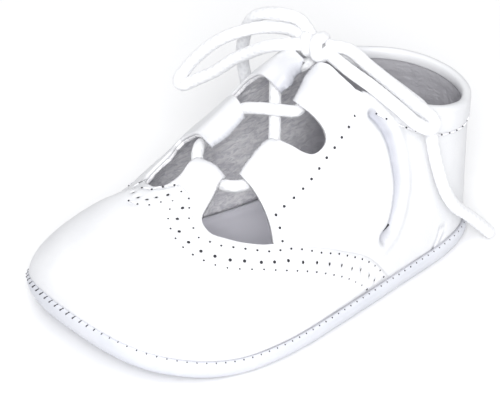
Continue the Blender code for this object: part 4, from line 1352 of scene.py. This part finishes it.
def loop_axis(row):
    name, a, b = row
    p = np.array([np.array(a) * (1 - u) + np.array(b) * u for u in np.linspace(0, 1, 5)])
    p[:, 0] += TUCK.get(name, 0.0)
    return lift(p, -(WALL + 0.1 + TUNNEL_OUTER))


def lace_route():
    knot = np.array(KNOT)
    middle = [lift([p[:2]], p[2])[0] for p in LACE_PATH]
    return [knot + (-1.9, -0.2, -4.6)] + middle + [knot + (2.2, -0.4, -5.0)]


def build_loops():
    """Turned leather tunnels under the tabs."""
    for row in LACE_LOOPS:
        path = smooth_path(loop_axis(row), 0.5)
        count = len(path)
        verts = []
        for radius, lip in ((TUNNEL_OUTER, -TUNNEL_LIP), (TUNNEL_BORE, TUNNEL_LIP)):
            for k, (c, (t, u, v)) in enumerate(zip(path, frames(path))):
                r = radius + (lip if k in (0, count - 1) else 0.0)
                verts += circle_at(c, u, v, r, TUNNEL_SIDES)
        n = count * TUNNEL_SIDES
        outer = tube_faces(0, count, TUNNEL_SIDES)
        faces = outer + [tuple(i + n for i in reversed(f)) for f in outer]
        for k in (0, count - 1):
            for j in range(TUNNEL_SIDES):
                a, b = k * TUNNEL_SIDES + j, k * TUNNEL_SIDES + (j + 1) % TUNNEL_SIDES
                faces.append((b, a, n + a, n + b))
        obj = turned_out(new_object(row[0] + "_leather", verts, faces, WHITE))
        finish_piece(obj, "white_leather", row[0])


def build_laces():
    lace, _, _ = cord_tube("lace_through_loops", lace_route(), LACE / 2 - 0.1)
    finish_piece(lace, "white_lace", "lace_crossings")
    knot_piece, _, _ = cord_tube("lace_knot_turns", knot_route(), LACE / 2, 20, 0.4)
    finish_piece(knot_piece, "white_lace", "lace_knot")
    for name, node, route, far_end in (("bow_loop_far_lace", "bow_loop_far", LEFT_LOOP, "knot"),
                                       ("bow_loop_near_lace", "bow_loop_near", RIGHT_LOOP, "knot"),
                                       ("lace_end_far_lace", "lace_end_far", END_FAR, "bare"),
                                       ("lace_end_near_lace", "lace_end_near", END_NEAR, "bare")):
        route = into_knot(route, far_end == "knot")
        piece, path, length = cord_tube(name, route, LACE / 2)
        finish_piece(piece, "white_lace", node)


def into_knot(route, both):
    """The strand with its ends carried on towards the knot."""
    p = [np.array(v) for v in route]
    knot = np.array(KNOT)
    p = [p[0] + (knot + (0, 0, 0.6) - p[0]) * 0.62] + p
    if both:
        p = p + [p[-1] + (knot - p[-1]) * 0.62]
    return p


def knot_route():
    out = []
    for k in range(7):
        a = 2.2 + k * math.pi / 2
        x = KNOT[0] + (k / 4 - 0.75) * KNOT_PITCH
        out.append((x, KNOT[1] + KNOT_RADIUS * math.cos(a), KNOT[2] + KNOT_RADIUS * math.sin(a)))
    return out


build_sole()
build_insole()
build_upper_pieces()
build_wing()
build_band()
build_binding()
build_stitches()
build_sole_seam()
build_loops()
build_laces()

# Floor and light
FLOOR_HALF = 1.6
FLOOR_DROP = 0.0002
# Name, place, size and watts
AREA_LIGHTS = [
    ("key", (0.76, -0.62, 0.98), 0.9, 7.0),
    ("front", (0.95, -0.78, 0.76), 0.5, 13.5),
    ("top", (-0.25, 0.05, 1.25), 1.0, 3.0),
]


def build_floor():
    corners = [(-1, -1), (1, -1), (1, 1), (-1, 1)]
    mesh = bpy.data.meshes.new("floor")
    mesh.from_pydata([(x * FLOOR_HALF, y * FLOOR_HALF, 0) for x, y in corners], [], [(0, 1, 2, 3)])
    floor = bpy.data.objects.new("floor", mesh)
    bpy.context.scene.collection.objects.link(floor)
    floor.location = (0, 0, -FLOOR_DROP)
    look, _, shader = node_material("floor_white", 0.9)
    shader.inputs["Base Color"].default_value = (0.95, 0.95, 0.955, 1.0)
    mesh.materials.append(look)


def light_studio():
    world = bpy.data.worlds.new("studio")
    bpy.context.scene.world = world
    world.use_nodes = True
    world.node_tree.nodes["Background"].inputs["Color"].default_value = (0.97, 0.98, 1.0, 1.0)
    world.node_tree.nodes["Background"].inputs["Strength"].default_value = 0.46
    for name, spot, size, power in AREA_LIGHTS:
        lamp = bpy.data.lights.new(name, "AREA")
        lamp.shape = "DISK"
        lamp.size = size
        lamp.energy = power
        obj = bpy.data.objects.new(name, lamp)
        bpy.context.scene.collection.objects.link(obj)
        obj.location = spot
        obj.rotation_euler = (Vector(spot) - Vector((0, 0, 0.02))).to_track_quat("Z", "Y").to_euler()
    bpy.context.scene.view_settings.view_transform = "Standard"
    bpy.context.scene.view_settings.exposure = 0.0


build_floor()
light_studio()
